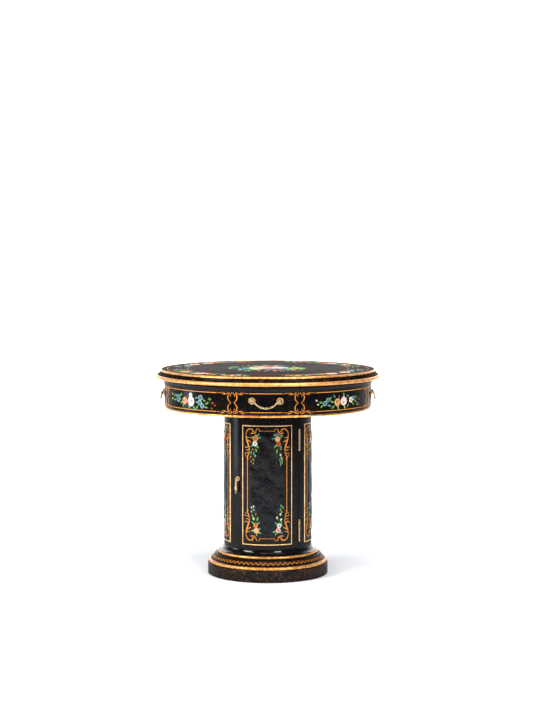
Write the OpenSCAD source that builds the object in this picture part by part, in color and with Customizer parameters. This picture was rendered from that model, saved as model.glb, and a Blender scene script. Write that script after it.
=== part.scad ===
// Round pedestal table: a moulded top over a drum with four drawers, a column
// with a cupboard behind a curved door, and a stepped round base.
// Millimetres. The origin is the centre of the foot at floor level, +Z is up,
// the front of the table faces -Y and its right-hand side is +X.

/* [Top] */
// Diameter of the top over its outer bead
top_d = 840; // [820:2:860]
// Height of the top surface above the floor
table_h = 770; // [740:1:780]
// Thickness of the top
top_t = 32; // [30:1:36]
// Height of the bead round the upper edge
upper_bead_h = 8; // [6:0.5:9]
// Width of the bead round the upper edge
upper_bead_w = 6; // [5:0.5:7]
// How far the outer bead stands out of the top's edge
outer_bead_w = 8; // [6:0.5:8]
// Height of the outer bead
outer_bead_h = 15; // [12:0.5:16]
// Width of the cove between the two beads
edge_cove_w = 9; // [7:0.5:10]

/* [Drum] */
// Diameter of the drum's face
drum_d = 774; // [760:2:780]
// Height of the drum from its lower edge to the underside of the top
drum_h = 114; // [110:1:120]
// Thickness of the drum's curved wall
drum_wall = 18.5; // [16:0.5:20]
// Width of the cove under the rim
rim_cove_w = 23; // [20:1:24]
// Height of the cove under the rim
rim_cove_h = 23.5; // [20:0.5:24]
// Height of the bead along the drum's lower edge
drum_bead_h = 9; // [7:0.5:11]
// Thickness of the boards that close the drum above and below
drum_board = 12; // [10:1:13]

/* [Drawers] */
// Angle that one drawer takes of the drum
drawer_angle = 36; // [34:0.5:37]
// Width of the gap at each side of a drawer front
seam = 2; // [1:0.25:3]
// Clear width between a drawer's two guides
bay_w = 214; // [206:2:214]
// Distance from the table's axis to the back of a drawer
drawer_back = 127; // [126:1:140]
// Thickness of a drawer's sides and back
drawer_side = 10; // [8:0.5:12]
// Height of a drawer's sides
drawer_h = 80; // [60:1:82]
// Thickness of a drawer's bottom
drawer_floor = 5; // [4:0.5:6]

/* [Drawer handles] */
// Distance between the two posts of a handle
handle_w = 100; // [90:1:110]
// Height of a handle's pivot above the drum's lower edge
handle_up = 60; // [50:1:66]
// Diameter of a handle's rosettes
rosette_d = 27; // [24:1:32]
// How far the middle of a bail's grip hangs below its pivot
bail_drop = 24.8; // [20:0.2:28]
// Thickness of a bail
bail_d = 5.6; // [4.4:0.2:6]
// Angle at which a bail stands away from the drawer at rest
bail_lean = 16; // [12:1:22]

/* [Column] */
// Diameter of the column
column_d = 328; // [315:1:335]
// Thickness of the column's wall
column_wall = 18; // [16:0.5:20]
// Height of the shelf's upper face above the floor
shelf_z = 362; // [300:1:420]
// Angle that one gilt panel frame takes of the column
frame_angle = 67.4; // [60:0.2:72]
// Height of the lower edge of the panel frames above the floor
frame_low = 129; // [122:1:140]
// Height of the upper edge of the panel frames above the floor
frame_high = 572; // [540:1:585]
// Width of the gilt strip of a panel frame
frame_w = 7; // [5:0.5:9]
// How far a panel frame stands out of the column
frame_t = 1.4; // [0.8:0.2:2]

/* [Door] */
// Angle from the front to the door's free edge, on the left
door_free = 50; // [47:0.5:52]
// Angle from the front to the hinge line, on the right
door_hinge = 45; // [43:0.5:51]
// Gap round the door
door_gap = 1; // [0.6:0.2:1.6]
// Length of a hinge
hinge_l = 78; // [60:1:90]
// Height of the lower hinge's lower end above the floor
hinge_low = 139; // [125:1:160]
// Height of the upper hinge's lower end above the floor
hinge_high = 476; // [440:1:500]
// Radius of the hinge knuckles
knuckle_r = 3.1; // [2.8:0.1:3.6]
// Angle from the front to the door pull, on the left
pull_angle = 41.5; // [38:0.5:43]
// Height of the door pull's pivot above the floor
pull_z = 371; // [330:1:420]
// Length of the drop that hangs from the door pull
pull_l = 54; // [44:1:60]

/* [Base] */
// Diameter of the plinth
plinth_d = 450; // [435:1:460]
// Height of the plinth's upper edge above the floor
plinth_h = 45; // [40:1:46]
// Height of the top of the base above the floor
base_h = 111; // [109:1:114]
// Height of the bead on the plinth
low_bead_h = 12; // [10:0.5:13]
// Height of the ogee moulding
ogee_h = 23; // [20:0.5:24]
// Height of the bead on the ogee moulding
high_bead_h = 12; // [10:0.5:12]
// Thickness of the glides under the plinth
glide_t = 2; // [1.5:0.5:4]
// Diameter of the glides
glide_d = 26; // [20:1:30]

/* [Hidden] */
$fn = 96;
eps = 0.01;
arc_steps = 12;

top_r = top_d / 2;
top_z = table_h - top_t;
edge_r = top_r - outer_bead_w;
shoulder_r = edge_r - edge_cove_w;
core_r = shoulder_r - 33;

drum_r = drum_d / 2;
drum_in = drum_r - drum_wall;
drum_z = top_z - drum_h;
front_top_gap = 1.5;
front_back_gap = 0.5;
rim_cove_z = top_z - front_top_gap - rim_cove_h;
cove_step = 1;
drum_bead_w = 2.2;
seam_angle = seam / drum_r * 180 / PI;
half_drawer = drawer_angle / 2;
bay_low = drum_z + drum_board;
bay_high = top_z - drum_board;
guide_t = 12;
runner_t = 2.5;
runner_w = 9;
drawer_half = bay_w / 2 - 1;
drawer_low = bay_low + runner_t + 0.4;
drawer_floor_z = drawer_low + 5;

post_angle = asin(handle_w / 2 / drum_r);
post_l = 10;
ball_r = 4.8;
handle_z = drum_z + handle_up;
pivot_x = (drum_r + post_l) * cos(post_angle);
ball_y = (drum_r + post_l) * sin(post_angle);
pin_r = 1.8;
run_gap = 0.06;
grip_r = bail_d / 2;
elbow_r = grip_r + 0.3;
elbow_y = ball_y - ball_r - elbow_r - 0.6;
bail_sag = bail_drop / cos(bail_lean);
bail_arc_r = (elbow_y * elbow_y + bail_sag * bail_sag) / (2 * bail_sag);
bail_half = asin(elbow_y / bail_arc_r);
stud_r = 2;

column_r = column_d / 2;
column_in = column_r - column_wall;
column_lid = 12;
door_in = column_in + 0.5;
door_low = base_h + door_gap;
door_high = drum_z - column_lid - door_gap;
gap_angle = door_gap / column_r * 180 / PI;
hinge_r = column_r + knuckle_r + 0.1;
hinge_pin_r = 1.5;
knuckles = 5;
knuckle_pitch = hinge_l / knuckles;
knuckle_gap = 0.3;
leaf_t = 1.5;
leaf_gap = 0.3;
leaf_in = column_r - 12.5;
shelf_t = 12;
shelf_r = column_in - 3.5;
peg_r = 3;
peg_angles = [75, 150, -150, -75];
stop_a0 = -door_free - 7;
stop_a1 = -door_free + 3.5;
stop_t = 8;
catch_angle = -40;

base_board_z = plinth_h;
ogee_z = plinth_h + low_bead_h;
high_bead_z = ogee_z + ogee_h;
base_cove_z = high_bead_z + high_bead_h;
plinth_r = plinth_d / 2;
base_cove_w = 20.5;
spigot_r = 170;
base_in = 130;
board_r = 205;
bead_on_ogee_r = column_r + base_cove_w;
ogee_foot_r = 215;
screw_r = 2;
bolt_r = 4;
bolt_hole_r = bolt_r + 0.25;
top_screw_rows = [70, 250];
column_bolt_row = 100;
base_screw_row = 150;
base_screw_angles = [30:60:330];

pull_reach = 10;
pull_pin_r = 1.2;
fork_in = 1.7;
fork_out = 3.6;
nut_r = 4.5;
nut_t = 3;
nut_gap = 0.1;

lacquer = [0.09, 0.09, 0.10];
gilt = [0.82, 0.62, 0.36];
brass = [0.78, 0.66, 0.48];
pale_wood = [0.72, 0.56, 0.38];
dark_wood = [0.24, 0.16, 0.11];
steel = [0.62, 0.63, 0.65];
felt = [0.20, 0.20, 0.20];

// Points of an elliptical arc about (cx, cy), from angle t0 to angle t1
function arc_points(cx, cy, rx, ry, t0, t1) =
    [for (i = [0:arc_steps]) let (t = t0 + (t1 - t0) * i / arc_steps) [cx + rx * cos(t), cy + ry * sin(t)]];

// Points of a cubic curve from p0 to p3, pulled towards p1 and p2
function curve_points(p0, p1, p2, p3) =
    [for (i = [0:arc_steps]) let (t = i / arc_steps, u = 1 - t)
        u * u * u * p0 + 3 * u * u * t * p1 + 3 * u * t * t * p2 + t * t * t * p3];

// Turns what is drawn along +X to the angle a from the front, positive to the right
module toward(a) {
    rotate([0, 0, a - 90]) children();
}

// Turns a profile about the axis, from the angle a0 to the angle a1 from the front
module turned_arc(a0, a1) {
    toward(a0) rotate_extrude(angle = a1 - a0) children();
}

// A ring with a rectangular section
module ring(r_in, r_out, z, h) {
    rotate_extrude() translate([r_in, z]) square([r_out - r_in, h]);
}

// The same piece at the four diagonals
module at_diagonals(r) {
    for (a = [45:90:315]) toward(a) translate([r, 0, 0]) children();
}

// A pan-head wood screw that stands up from z = 0, its head below
module wood_screw(length) {
    translate([0, 0, -3]) cylinder(r = 4.5, h = 3);
    cylinder(r = screw_r, h = length);
}

// ---------- top ----------

module top_panel() {
    color(lacquer) difference() {
        translate([0, 0, top_z]) cylinder(r = core_r, h = top_t);
        for (r = top_screw_rows) at_diagonals(r) translate([0, 0, top_z - eps])
            cylinder(r = screw_r + run_gap, h = 16);
    }
}

module top_edge_moulding() {
    cove_top = table_h - upper_bead_h;
    cove_low = top_z + outer_bead_h - 1;
    color(lacquer) rotate_extrude() polygon(concat(
        [[core_r, top_z], [edge_r, top_z]],
        arc_points(edge_r, cove_top, edge_cove_w, cove_top - cove_low, 270, 180),
        [[shoulder_r - upper_bead_w, cove_top], [shoulder_r - upper_bead_w, table_h], [core_r, table_h]]));
}

module top_upper_bead() {
    bead_in = shoulder_r - upper_bead_w;
    bead_low = table_h - upper_bead_h;
    color(gilt) rotate_extrude() polygon(concat(
        [[bead_in, bead_low]],
        arc_points(bead_in, bead_low, upper_bead_w, upper_bead_h, 0, 90)));
}

module top_outer_bead() {
    color(gilt) rotate_extrude() polygon(
        arc_points(edge_r, top_z - 1 + outer_bead_h / 2, outer_bead_w, outer_bead_h / 2, -90, 90));
}

// ---------- drum ----------

module drum_top_board() {
    color(dark_wood) difference() {
        translate([0, 0, bay_high]) cylinder(r = drum_in, h = drum_board);
        for (r = top_screw_rows) at_diagonals(r) {
            translate([0, 0, bay_high - 1]) cylinder(r = screw_r + 0.25, h = drum_board + 2);
        }
    }
}

module drum_bottom_board() {
    color(dark_wood) difference() {
        translate([0, 0, drum_z]) cylinder(r = drum_in, h = drum_board);
        at_diagonals(column_bolt_row) translate([0, 0, drum_z - 1])
            cylinder(r = bolt_hole_r, h = drum_board + 2);
    }
}

// Four angle pieces that stand between the drawers and close their bays
module drawer_guides() {
    guide_h = bay_high - bay_low;
    bay_half = bay_w / 2;
    color(dark_wood) for (k = [0:3]) rotate([0, 0, 90 * k]) intersection() {
        translate([0, 0, bay_low]) union() {
            translate([bay_half, bay_half, 0]) cube([drum_in, guide_t, guide_h]);
            translate([bay_half, bay_half, 0]) cube([guide_t, drum_in, guide_h]);
        }
        translate([0, 0, bay_low]) cylinder(r = drum_in, h = guide_h);
    }
}

// Two waxed strips under each drawer
module drawer_runners() {
    for (k = [0:3], s = [-1, 1]) {
        color(pale_wood) toward(90 * k) translate([drawer_back, s * (drawer_half - runner_w / 2), bay_low])
            translate([0, -runner_w / 2, 0]) cube([220, runner_w, runner_t]);
    }
}

// Section of the drum's wall: lower bead, straight face and the cove under the rim
module drum_section(r_in, z_high) {
    polygon(concat(
        [[r_in, drum_z]],
        arc_points(drum_r, drum_z + drum_bead_h / 2, drum_bead_w, drum_bead_h / 2, -90, 90),
        [[drum_r, rim_cove_z]],
        arc_points(drum_r + cove_step + rim_cove_w, rim_cove_z, rim_cove_w, rim_cove_h, 180, 90),
        [[drum_r + cove_step + rim_cove_w, z_high], [r_in, z_high]]));
}

// The fixed stretch of the drum whose middle is at the angle a from the front
module apron(a) {
    half = 45 - half_drawer - seam_angle / 2;
    color(lacquer) turned_arc(a - half, a + half) drum_section(drum_in, top_z);
}

// ---------- drawers, drawn with the front towards +X ----------

module drawer_face() {
    half = half_drawer - seam_angle / 2;
    color(lacquer) difference() {
        rotate([0, 0, -half]) rotate_extrude(angle = 2 * half)
            drum_section(drum_in + front_back_gap, top_z - front_top_gap);
        for (s = [-1, 1]) rotate([0, 0, s * post_angle]) {
            translate([drum_in - 5, 0, handle_z]) along_x() cylinder(r = stud_r + 0.1, h = drum_wall + 10);
        }
    }
}

// What fits inside the curve of the drawer's front
module behind_face(z, h) {
    translate([0, 0, z]) cylinder(r = drum_in + front_back_gap, h = h);
}

module drawer_box() {
    color(pale_wood) intersection() {
        translate([0, 0, drawer_low]) union() {
            for (s = [0, 1]) mirror([0, s, 0]) translate([drawer_back, drawer_half - drawer_side, 0])
                cube([drum_r - drawer_back, drawer_side, drawer_h]);
            translate([drawer_back, -drawer_half, 0]) cube([drawer_side, 2 * drawer_half, drawer_h]);
        }
        behind_face(drawer_low, drawer_h);
    }
}

module drawer_bottom() {
    inner_half = drawer_half - drawer_side;
    color(pale_wood) intersection() {
        translate([drawer_back + drawer_side, -inner_half, drawer_floor_z])
            cube([drum_r - drawer_back, 2 * inner_half, drawer_floor]);
        behind_face(drawer_floor_z, drawer_floor);
    }
}

// Section of a rosette with its post and stud, drawn along +Y from the drawer's face
module post_section() {
    rosette_r = rosette_d / 2;
    polygon([[0, -drum_wall - 4], [stud_r, -drum_wall - 4], [stud_r, 0], [rosette_r, 0], [rosette_r, 1.6],
             [rosette_r - 2.5, 3.2], [rosette_r - 6, 2.4], [6, 4.2], [3.4, 5.2], [3.4, post_l], [0, post_l]]);
}

// Lays what is drawn along +Z down along +X
module along_x() {
    rotate([0, 90, 0]) children();
}

module handle_posts() {
    color(brass) for (s = [-1, 1]) {
        difference() {
            rotate([0, 0, s * post_angle]) translate([drum_r, 0, handle_z]) union() {
                along_x() rotate_extrude() post_section();
                translate([post_l, 0, 0]) sphere(r = ball_r);
            }
            translate([pivot_x, s * ball_y, handle_z]) rotate([90, 0, 0])
                cylinder(r = pin_r + run_gap, h = 20, center = true);
        }
        nut_x = drum_in + front_back_gap - nut_gap - nut_t;
        rotate([0, 0, s * post_angle]) translate([nut_x, 0, handle_z]) difference() {
            along_x() cylinder(r = nut_r, h = nut_t);
            translate([-1, 0, 0]) along_x() cylinder(r = stud_r + run_gap, h = 5);
        }
    }
}

// The swinging bail: two pins, two elbows, a curved grip and the boss in its middle
module bail() {
    boss_half = 4.6;
    boss_r = 5.4;
    boss_end_r = grip_r + 1;
    color(brass) translate([pivot_x, 0, handle_z]) rotate([0, -bail_lean, 0]) {
        for (s = [-1, 1]) {
            translate([0, s * elbow_y, 0]) sphere(r = elbow_r);
            translate([0, s * (elbow_y + ball_y + 2) / 2, 0]) rotate([90, 0, 0])
                cylinder(r = pin_r, h = ball_y + 2 - elbow_y, center = true);
        }
        translate([0, 0, bail_arc_r - bail_sag]) rotate([0, 90, 0]) rotate([0, 0, -bail_half])
            rotate_extrude(angle = 2 * bail_half) translate([bail_arc_r, 0]) circle(r = grip_r);
        translate([0, 0, -bail_sag]) rotate([90, 0, 0]) rotate_extrude()
            polygon([[0, -boss_half], [boss_end_r, -boss_half], [boss_r, 0], [boss_end_r, boss_half],
                     [0, boss_half]]);
    }
}

// ---------- column ----------

module column_top_board() {
    z = drum_z - column_lid;
    color(lacquer) difference() {
        translate([0, 0, z]) cylinder(r = column_r, h = column_lid);
        at_diagonals(column_bolt_row) translate([0, 0, z - 1]) cylinder(r = bolt_hole_r, h = column_lid + 2);
    }
}

// Recess for one hinge leaf, on the side s of the hinge line
module hinge_recess(s) {
    depth = leaf_t + leaf_gap + 0.1;
    for (z = [hinge_low, hinge_high]) {
        toward(door_hinge) translate([leaf_in - 0.2, s < 0 ? -depth : 0, z - 0.5])
            cube([20, depth, hinge_l + 1]);
    }
}

module column_shell() {
    color(lacquer) difference() {
        turned_arc(door_hinge + gap_angle, 360 - door_free)
            translate([column_in, base_h]) square([column_wall, drum_z - column_lid - base_h]);
        hinge_recess(1);
        for (a = peg_angles) toward(a) {
            translate([column_in - 5, 0, shelf_z - shelf_t - peg_r]) along_x()
                cylinder(r = peg_r + 0.1, h = 13);
        }
    }
}

module column_floor_board() {
    color(dark_wood) translate([0, 0, base_cove_z]) cylinder(r = column_in - 0.3, h = base_h - base_cove_z);
}

module column_shelf() {
    color(dark_wood) difference() {
        translate([0, 0, shelf_z - shelf_t]) cylinder(r = shelf_r, h = shelf_t);
        turned_arc(stop_a0 - 1, stop_a1 + 1) translate([column_in - stop_t - 1, shelf_z - shelf_t - 1])
            square([20, shelf_t + 2]);
    }
}

module shelf_pegs() {
    color(brass) for (a = peg_angles) toward(a) {
        translate([column_in - 12, 0, shelf_z - shelf_t - peg_r]) along_x() cylinder(r = peg_r, h = 19.5);
    }
}

module door_stop() {
    color(lacquer) turned_arc(stop_a0, stop_a1)
        translate([column_in - stop_t, base_h]) square([stop_t, drum_z - column_lid - base_h]);
}

// A magnet in its case under the column's top board, at the door's free edge
module door_catch() {
    catch_l = 15;
    catch_w = 26;
    catch_h = 14;
    face_x = column_in - 2.2;
    catch_z = drum_z - column_lid - catch_h;
    color(steel) toward(catch_angle) translate([face_x - catch_l, -catch_w / 2, catch_z])
        cube([catch_l, catch_w, catch_h]);
}

// One leaf of each hinge with every second knuckle, on the side s of the hinge line
module hinge_leaves(s, first) {
    color(brass) for (z = [hinge_low, hinge_high]) toward(door_hinge) translate([0, 0, z]) difference() {
        union() {
            translate([leaf_in, s < 0 ? -leaf_gap - leaf_t : leaf_gap, 0])
                cube([hinge_r - knuckle_r - 0.2 - leaf_in, leaf_t, hinge_l]);
            for (i = [first:2:knuckles - 1]) translate([0, 0, i * knuckle_pitch + knuckle_gap / 2]) {
                translate([hinge_r, 0, 0]) cylinder(r = knuckle_r, h = knuckle_pitch - knuckle_gap);
                translate([leaf_in, s < 0 ? -leaf_gap - leaf_t : leaf_gap, 0])
                    cube([hinge_r - leaf_in, leaf_t, knuckle_pitch - knuckle_gap]);
            }
        }
        translate([hinge_r, 0, -1]) cylinder(r = hinge_pin_r + run_gap, h = hinge_l + 2);
    }
}

module hinge_frame_leaves() {
    hinge_leaves(1, 0);
}

module hinge_pins() {
    head_h = 3;
    color(brass) for (z = [hinge_low, hinge_high]) toward(door_hinge) translate([hinge_r, 0, z]) {
        cylinder(r = hinge_pin_r, h = hinge_l);
        translate([0, 0, hinge_l - knuckle_gap / 2]) cylinder(r1 = 2.9, r2 = 1.4, h = head_h);
        translate([0, 0, knuckle_gap / 2 - head_h]) cylinder(r1 = 1.4, r2 = 2.9, h = head_h);
    }
}

// A gilt strip round one panel of the column, its middle at the angle a from the front
module panel_frame(a) {
    half = frame_angle / 2;
    strip = frame_w / column_r * 180 / PI;
    inner_h = frame_high - frame_low - 2 * frame_w;
    color(gilt) difference() {
        turned_arc(a - half, a + half) translate([column_r, frame_low])
            square([frame_t, frame_high - frame_low]);
        turned_arc(a - half + strip, a + half - strip)
            translate([column_r - 1, frame_low + frame_w]) square([frame_t + 2, inner_h]);
    }
}

// ---------- base ----------

module base_cove() {
    color(lacquer) rotate_extrude() polygon(concat(
        [[column_in, base_h]],
        arc_points(bead_on_ogee_r, base_h, base_cove_w, base_h - base_cove_z, 180, 270),
        [[column_in, base_cove_z]]));
}

module base_upper_bead() {
    bead_w = 4.5;
    color(gilt) rotate_extrude() polygon(concat(
        [[spigot_r, high_bead_z]],
        arc_points(bead_on_ogee_r, high_bead_z + high_bead_h / 2, bead_w, high_bead_h / 2, -90, 90),
        [[spigot_r, base_cove_z]]));
}

module base_ogee() {
    shoulder = [bead_on_ogee_r + 5, high_bead_z];
    foot = [ogee_foot_r, ogee_z + 1];
    color(lacquer) difference() {
        rotate_extrude() polygon(concat(
            [[base_in, ogee_z], [ogee_foot_r, ogee_z]],
            curve_points(foot, foot + [-12, 4], shoulder + [13, 0], shoulder),
            [[spigot_r, high_bead_z], [spigot_r, base_cove_z], [base_in, base_cove_z]]));
        base_screw_holes(screw_r + run_gap, 20);
    }
}

module base_lower_bead() {
    bead_w = 6;
    bead_r = plinth_r - 8;
    color(gilt) rotate_extrude() polygon(concat(
        [[board_r, plinth_h]],
        arc_points(bead_r, plinth_h + low_bead_h / 2, bead_w, low_bead_h / 2, -90, 90),
        [[board_r, ogee_z]]));
}

// Holes for the screws between the base board and the ogee moulding
module base_screw_holes(r, depth) {
    for (a = base_screw_angles) toward(a) translate([base_screw_row, 0, ogee_z - eps])
        cylinder(r = r, h = depth);
}

module base_board() {
    color(dark_wood) difference() {
        translate([0, 0, base_board_z]) cylinder(r = board_r, h = low_bead_h);
        translate([0, 0, -low_bead_h - 1]) base_screw_holes(screw_r + 0.25, low_bead_h + 2);
    }
}

module plinth() {
    plinth_in = 180;
    soft = 3;
    color(lacquer) rotate_extrude() polygon(concat(
        [[plinth_in, glide_t], [plinth_r - 1, glide_t], [plinth_r, glide_t + 1]],
        arc_points(plinth_r - soft, plinth_h - soft, soft, soft, 0, 90),
        [[plinth_in, plinth_h]]));
}

module floor_glides() {
    glide_row = 202;
    color(felt) for (a = [0:60:300]) toward(a) translate([glide_row, 0, 0])
        cylinder(d = glide_d, h = glide_t);
}

// ---------- fasteners ----------

module top_screws() {
    color(steel) for (r = top_screw_rows) at_diagonals(r) translate([0, 0, bay_high])
        wood_screw(drum_board + 15);
}

// Hexagon bolts through the column's top board and the drum's bottom board, with their nuts
module column_bolts() {
    head_r = 7.5;
    head_h = 5.3;
    nut_h = 6;
    z_low = drum_z - column_lid;
    color(steel) at_diagonals(column_bolt_row) {
        translate([0, 0, z_low - head_h]) cylinder(r = head_r, h = head_h, $fn = 6);
        translate([0, 0, z_low - eps]) cylinder(r = bolt_r, h = column_lid + drum_board + nut_h + 2);
        translate([0, 0, bay_low]) difference() {
            cylinder(r = head_r, h = nut_h, $fn = 6);
            translate([0, 0, -1]) cylinder(r = bolt_r + run_gap, h = nut_h + 2);
        }
    }
}

module base_screws() {
    color(steel) for (a = base_screw_angles) toward(a) translate([base_screw_row, 0, base_board_z])
        wood_screw(low_bead_h + 18);
}

// ---------- door ----------

module door_leaf() {
    color(lacquer) difference() {
        turned_arc(-door_free + gap_angle, door_hinge - gap_angle)
            translate([door_in, door_low]) square([column_r - door_in, door_high - door_low]);
        hinge_recess(-1);
        toward(-pull_angle) translate([door_in - 5, 0, pull_z]) along_x() cylinder(r = stud_r + 0.1, h = 40);
    }
}

module hinge_door_leaves() {
    hinge_leaves(-1, 1);
}

module door_strike() {
    strike_w = 24;
    strike_t = 1.2;
    strike_h = 16;
    strike_x = door_in - 0.5 - strike_t;
    color(steel) toward(catch_angle) translate([strike_x, -strike_w / 2, door_high - strike_h])
        cube([strike_t, strike_w, strike_h]);
}

// The rosette of the door pull: its stud with a nut inside the door, and a fork with its cross pin
module pull_rosette() {
    wall = column_r - door_in;
    color(brass) toward(-pull_angle) translate([column_r, 0, pull_z]) {
        along_x() rotate_extrude() polygon([[0, -wall - 4], [stud_r, -wall - 4], [stud_r, 0], [9.5, 0],
            [9.5, 1], [8, 2.2], [5, 2], [4.2, 4.2], [0, 4.2]]);
        for (s = [0, 1]) mirror([0, s, 0]) {
            translate([3, fork_in, -2.2]) cube([pull_reach - 3, fork_out - fork_in, 4.4]);
            translate([pull_reach, fork_in, 0]) rotate([-90, 0, 0]) cylinder(r = 2.2, h = fork_out - fork_in);
        }
        translate([pull_reach, 0, 0]) rotate([90, 0, 0])
            cylinder(r = pull_pin_r, h = 2 * fork_out, center = true);
        translate([-wall - nut_gap - nut_t, 0, 0]) difference() {
            along_x() cylinder(r = nut_r, h = nut_t);
            translate([-1, 0, 0]) along_x() cylinder(r = stud_r + run_gap, h = 5);
        }
    }
}

// The turned drop that hangs from the door pull's pin
module pull_drop() {
    eye_r = 2.9;
    eye_w = 3;
    color(brass) toward(-pull_angle) translate([column_r + pull_reach, 0, pull_z]) difference() {
        union() {
            rotate([90, 0, 0]) cylinder(r = eye_r, h = eye_w, center = true);
            translate([0, 0, -pull_l]) rotate_extrude() polygon(concat(
                [[0, 0], [1.6, 0]],
                arc_points(1.6, 3.4, 2, 3.4, -90, 90),
                [[1.8, 7.6]],
                curve_points([2, 8.2], [5.8, 11], [5.6, 20], [2.4, 29]),
                [[2.2, 30], [3.6, 31.5], [3.6, 33], [2.2, 34.5]],
                curve_points([2.2, 35], [4.4, 38], [3.4, 42], [1.9, pull_l - 6]),
                [[1.4, pull_l - 2], [0, pull_l - 2]]));
        }
        rotate([90, 0, 0]) cylinder(r = pull_pin_r + run_gap, h = 20, center = true);
    }
}

top_panel();
top_edge_moulding();
top_upper_bead();
top_outer_bead();
drum_top_board();
drum_bottom_board();
drawer_guides();
drawer_runners();
apron(45);  // apron_front_right
apron(135);  // apron_back_right
apron(225);  // apron_back_left
apron(315);  // apron_front_left
column_top_board();
column_shell();
column_floor_board();
column_shelf();
shelf_pegs();
door_stop();
door_catch();
hinge_frame_leaves();
hinge_pins();
panel_frame(90);  // panel_frame_right
panel_frame(180);  // panel_frame_back
panel_frame(270);  // panel_frame_left
base_cove();
base_upper_bead();
base_ogee();
base_lower_bead();
base_board();
plinth();
floor_glides();
top_screws();
column_bolts();
base_screws();
door_leaf();
panel_frame(0);  // door_frame
hinge_door_leaves();
door_strike();
pull_rosette();
pull_drop();
toward(0) drawer_face();  // drawer_face_front
toward(0) drawer_box();  // drawer_box_front
toward(0) drawer_bottom();  // drawer_bottom_front
toward(0) handle_posts();  // handle_posts_front
toward(0) bail();  // bail_front
toward(90) drawer_face();  // drawer_face_right
toward(90) drawer_box();  // drawer_box_right
toward(90) drawer_bottom();  // drawer_bottom_right
toward(90) handle_posts();  // handle_posts_right
toward(90) bail();  // bail_right
toward(180) drawer_face();  // drawer_face_back
toward(180) drawer_box();  // drawer_box_back
toward(180) drawer_bottom();  // drawer_bottom_back
toward(180) handle_posts();  // handle_posts_back
toward(180) bail();  // bail_back
toward(270) drawer_face();  // drawer_face_left
toward(270) drawer_box();  // drawer_box_left
toward(270) drawer_bottom();  // drawer_bottom_left
toward(270) handle_posts();  // handle_posts_left
toward(270) bail();  // bail_left
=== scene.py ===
"""Looks of the round lacquered pedestal table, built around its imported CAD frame."""
import math
import random

import bmesh
import bpy
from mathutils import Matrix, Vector, noise


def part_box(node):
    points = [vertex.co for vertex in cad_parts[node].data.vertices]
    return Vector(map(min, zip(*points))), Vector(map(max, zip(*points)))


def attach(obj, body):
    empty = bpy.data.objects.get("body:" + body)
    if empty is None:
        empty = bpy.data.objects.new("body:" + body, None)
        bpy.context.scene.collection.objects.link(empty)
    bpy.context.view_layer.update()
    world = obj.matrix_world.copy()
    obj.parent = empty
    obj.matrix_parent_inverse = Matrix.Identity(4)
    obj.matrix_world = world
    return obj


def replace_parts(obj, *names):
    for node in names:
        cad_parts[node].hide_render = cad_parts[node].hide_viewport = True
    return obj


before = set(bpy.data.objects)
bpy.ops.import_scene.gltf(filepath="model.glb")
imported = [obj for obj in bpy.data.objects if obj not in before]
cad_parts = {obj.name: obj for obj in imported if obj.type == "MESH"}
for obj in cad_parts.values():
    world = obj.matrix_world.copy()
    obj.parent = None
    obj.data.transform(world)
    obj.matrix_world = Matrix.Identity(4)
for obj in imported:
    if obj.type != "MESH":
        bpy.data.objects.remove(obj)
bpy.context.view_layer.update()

MM = 0.001
SIDES = {"front": 0, "right": 90, "back": 180, "left": 270}
CORNERS = {"front_right": 45, "back_right": 135, "back_left": 225, "front_left": 315}


# ---------- sizes, read from the frame, in millimetres ----------

def low(node):
    return [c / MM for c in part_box(node)[0]]


def high(node):
    return [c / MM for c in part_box(node)[1]]


TOP_Z = high("top_panel")[2]
SLAB_Z = low("top_panel")[2]
RIM_R = high("top_outer_bead")[0]
BEAD_TRIM = 1.8
RIM_BEAD_Z = (low("top_outer_bead")[2], high("top_outer_bead")[2] - BEAD_TRIM)
EDGE_R = high("top_edge_moulding")[0]
SHOULDER_R = high("top_upper_bead")[0]
UPPER_BEAD_LOW = low("top_upper_bead")[2] + BEAD_TRIM
UPPER_BEAD_W = 6
DRUM_IN = high("drum_top_board")[0]
DRUM_LOW = low("apron_front_right")[2]
DRUM_R = 387.0
COLUMN_R = high("column_top_board")[0]
COLUMN_LOW = high("base_cove")[2]
COLUMN_HIGH = low("column_top_board")[2]
WALL_IN = COLUMN_R - 18
DOOR_LOW = low("door_leaf")[2]
DOOR_HIGH = high("door_leaf")[2]
FRAME_LOW = low("door_frame")[2]
FRAME_HIGH = high("door_frame")[2]
PLINTH_R = high("plinth")[0]
PLINTH_Z = (low("plinth")[2], high("plinth")[2])
OGEE_Z = (low("base_ogee")[2], low("base_upper_bead")[2])
COVE_Z = (low("base_cove")[2], high("base_cove")[2])
COVE_R = high("base_cove")[0]
LOW_BEAD_R = high("base_lower_bead")[0]
HIGH_BEAD_R = high("base_upper_bead")[0]


# ---------- colours ----------

def srgb(r, g, b):
    """A screen colour, 0 to 255, as linear light."""
    def channel(v):
        v /= 255
        return v / 12.92 if v <= 0.04045 else ((v + 0.055) / 1.055) ** 2.4
    return (channel(r), channel(g), channel(b), 1.0)


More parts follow.
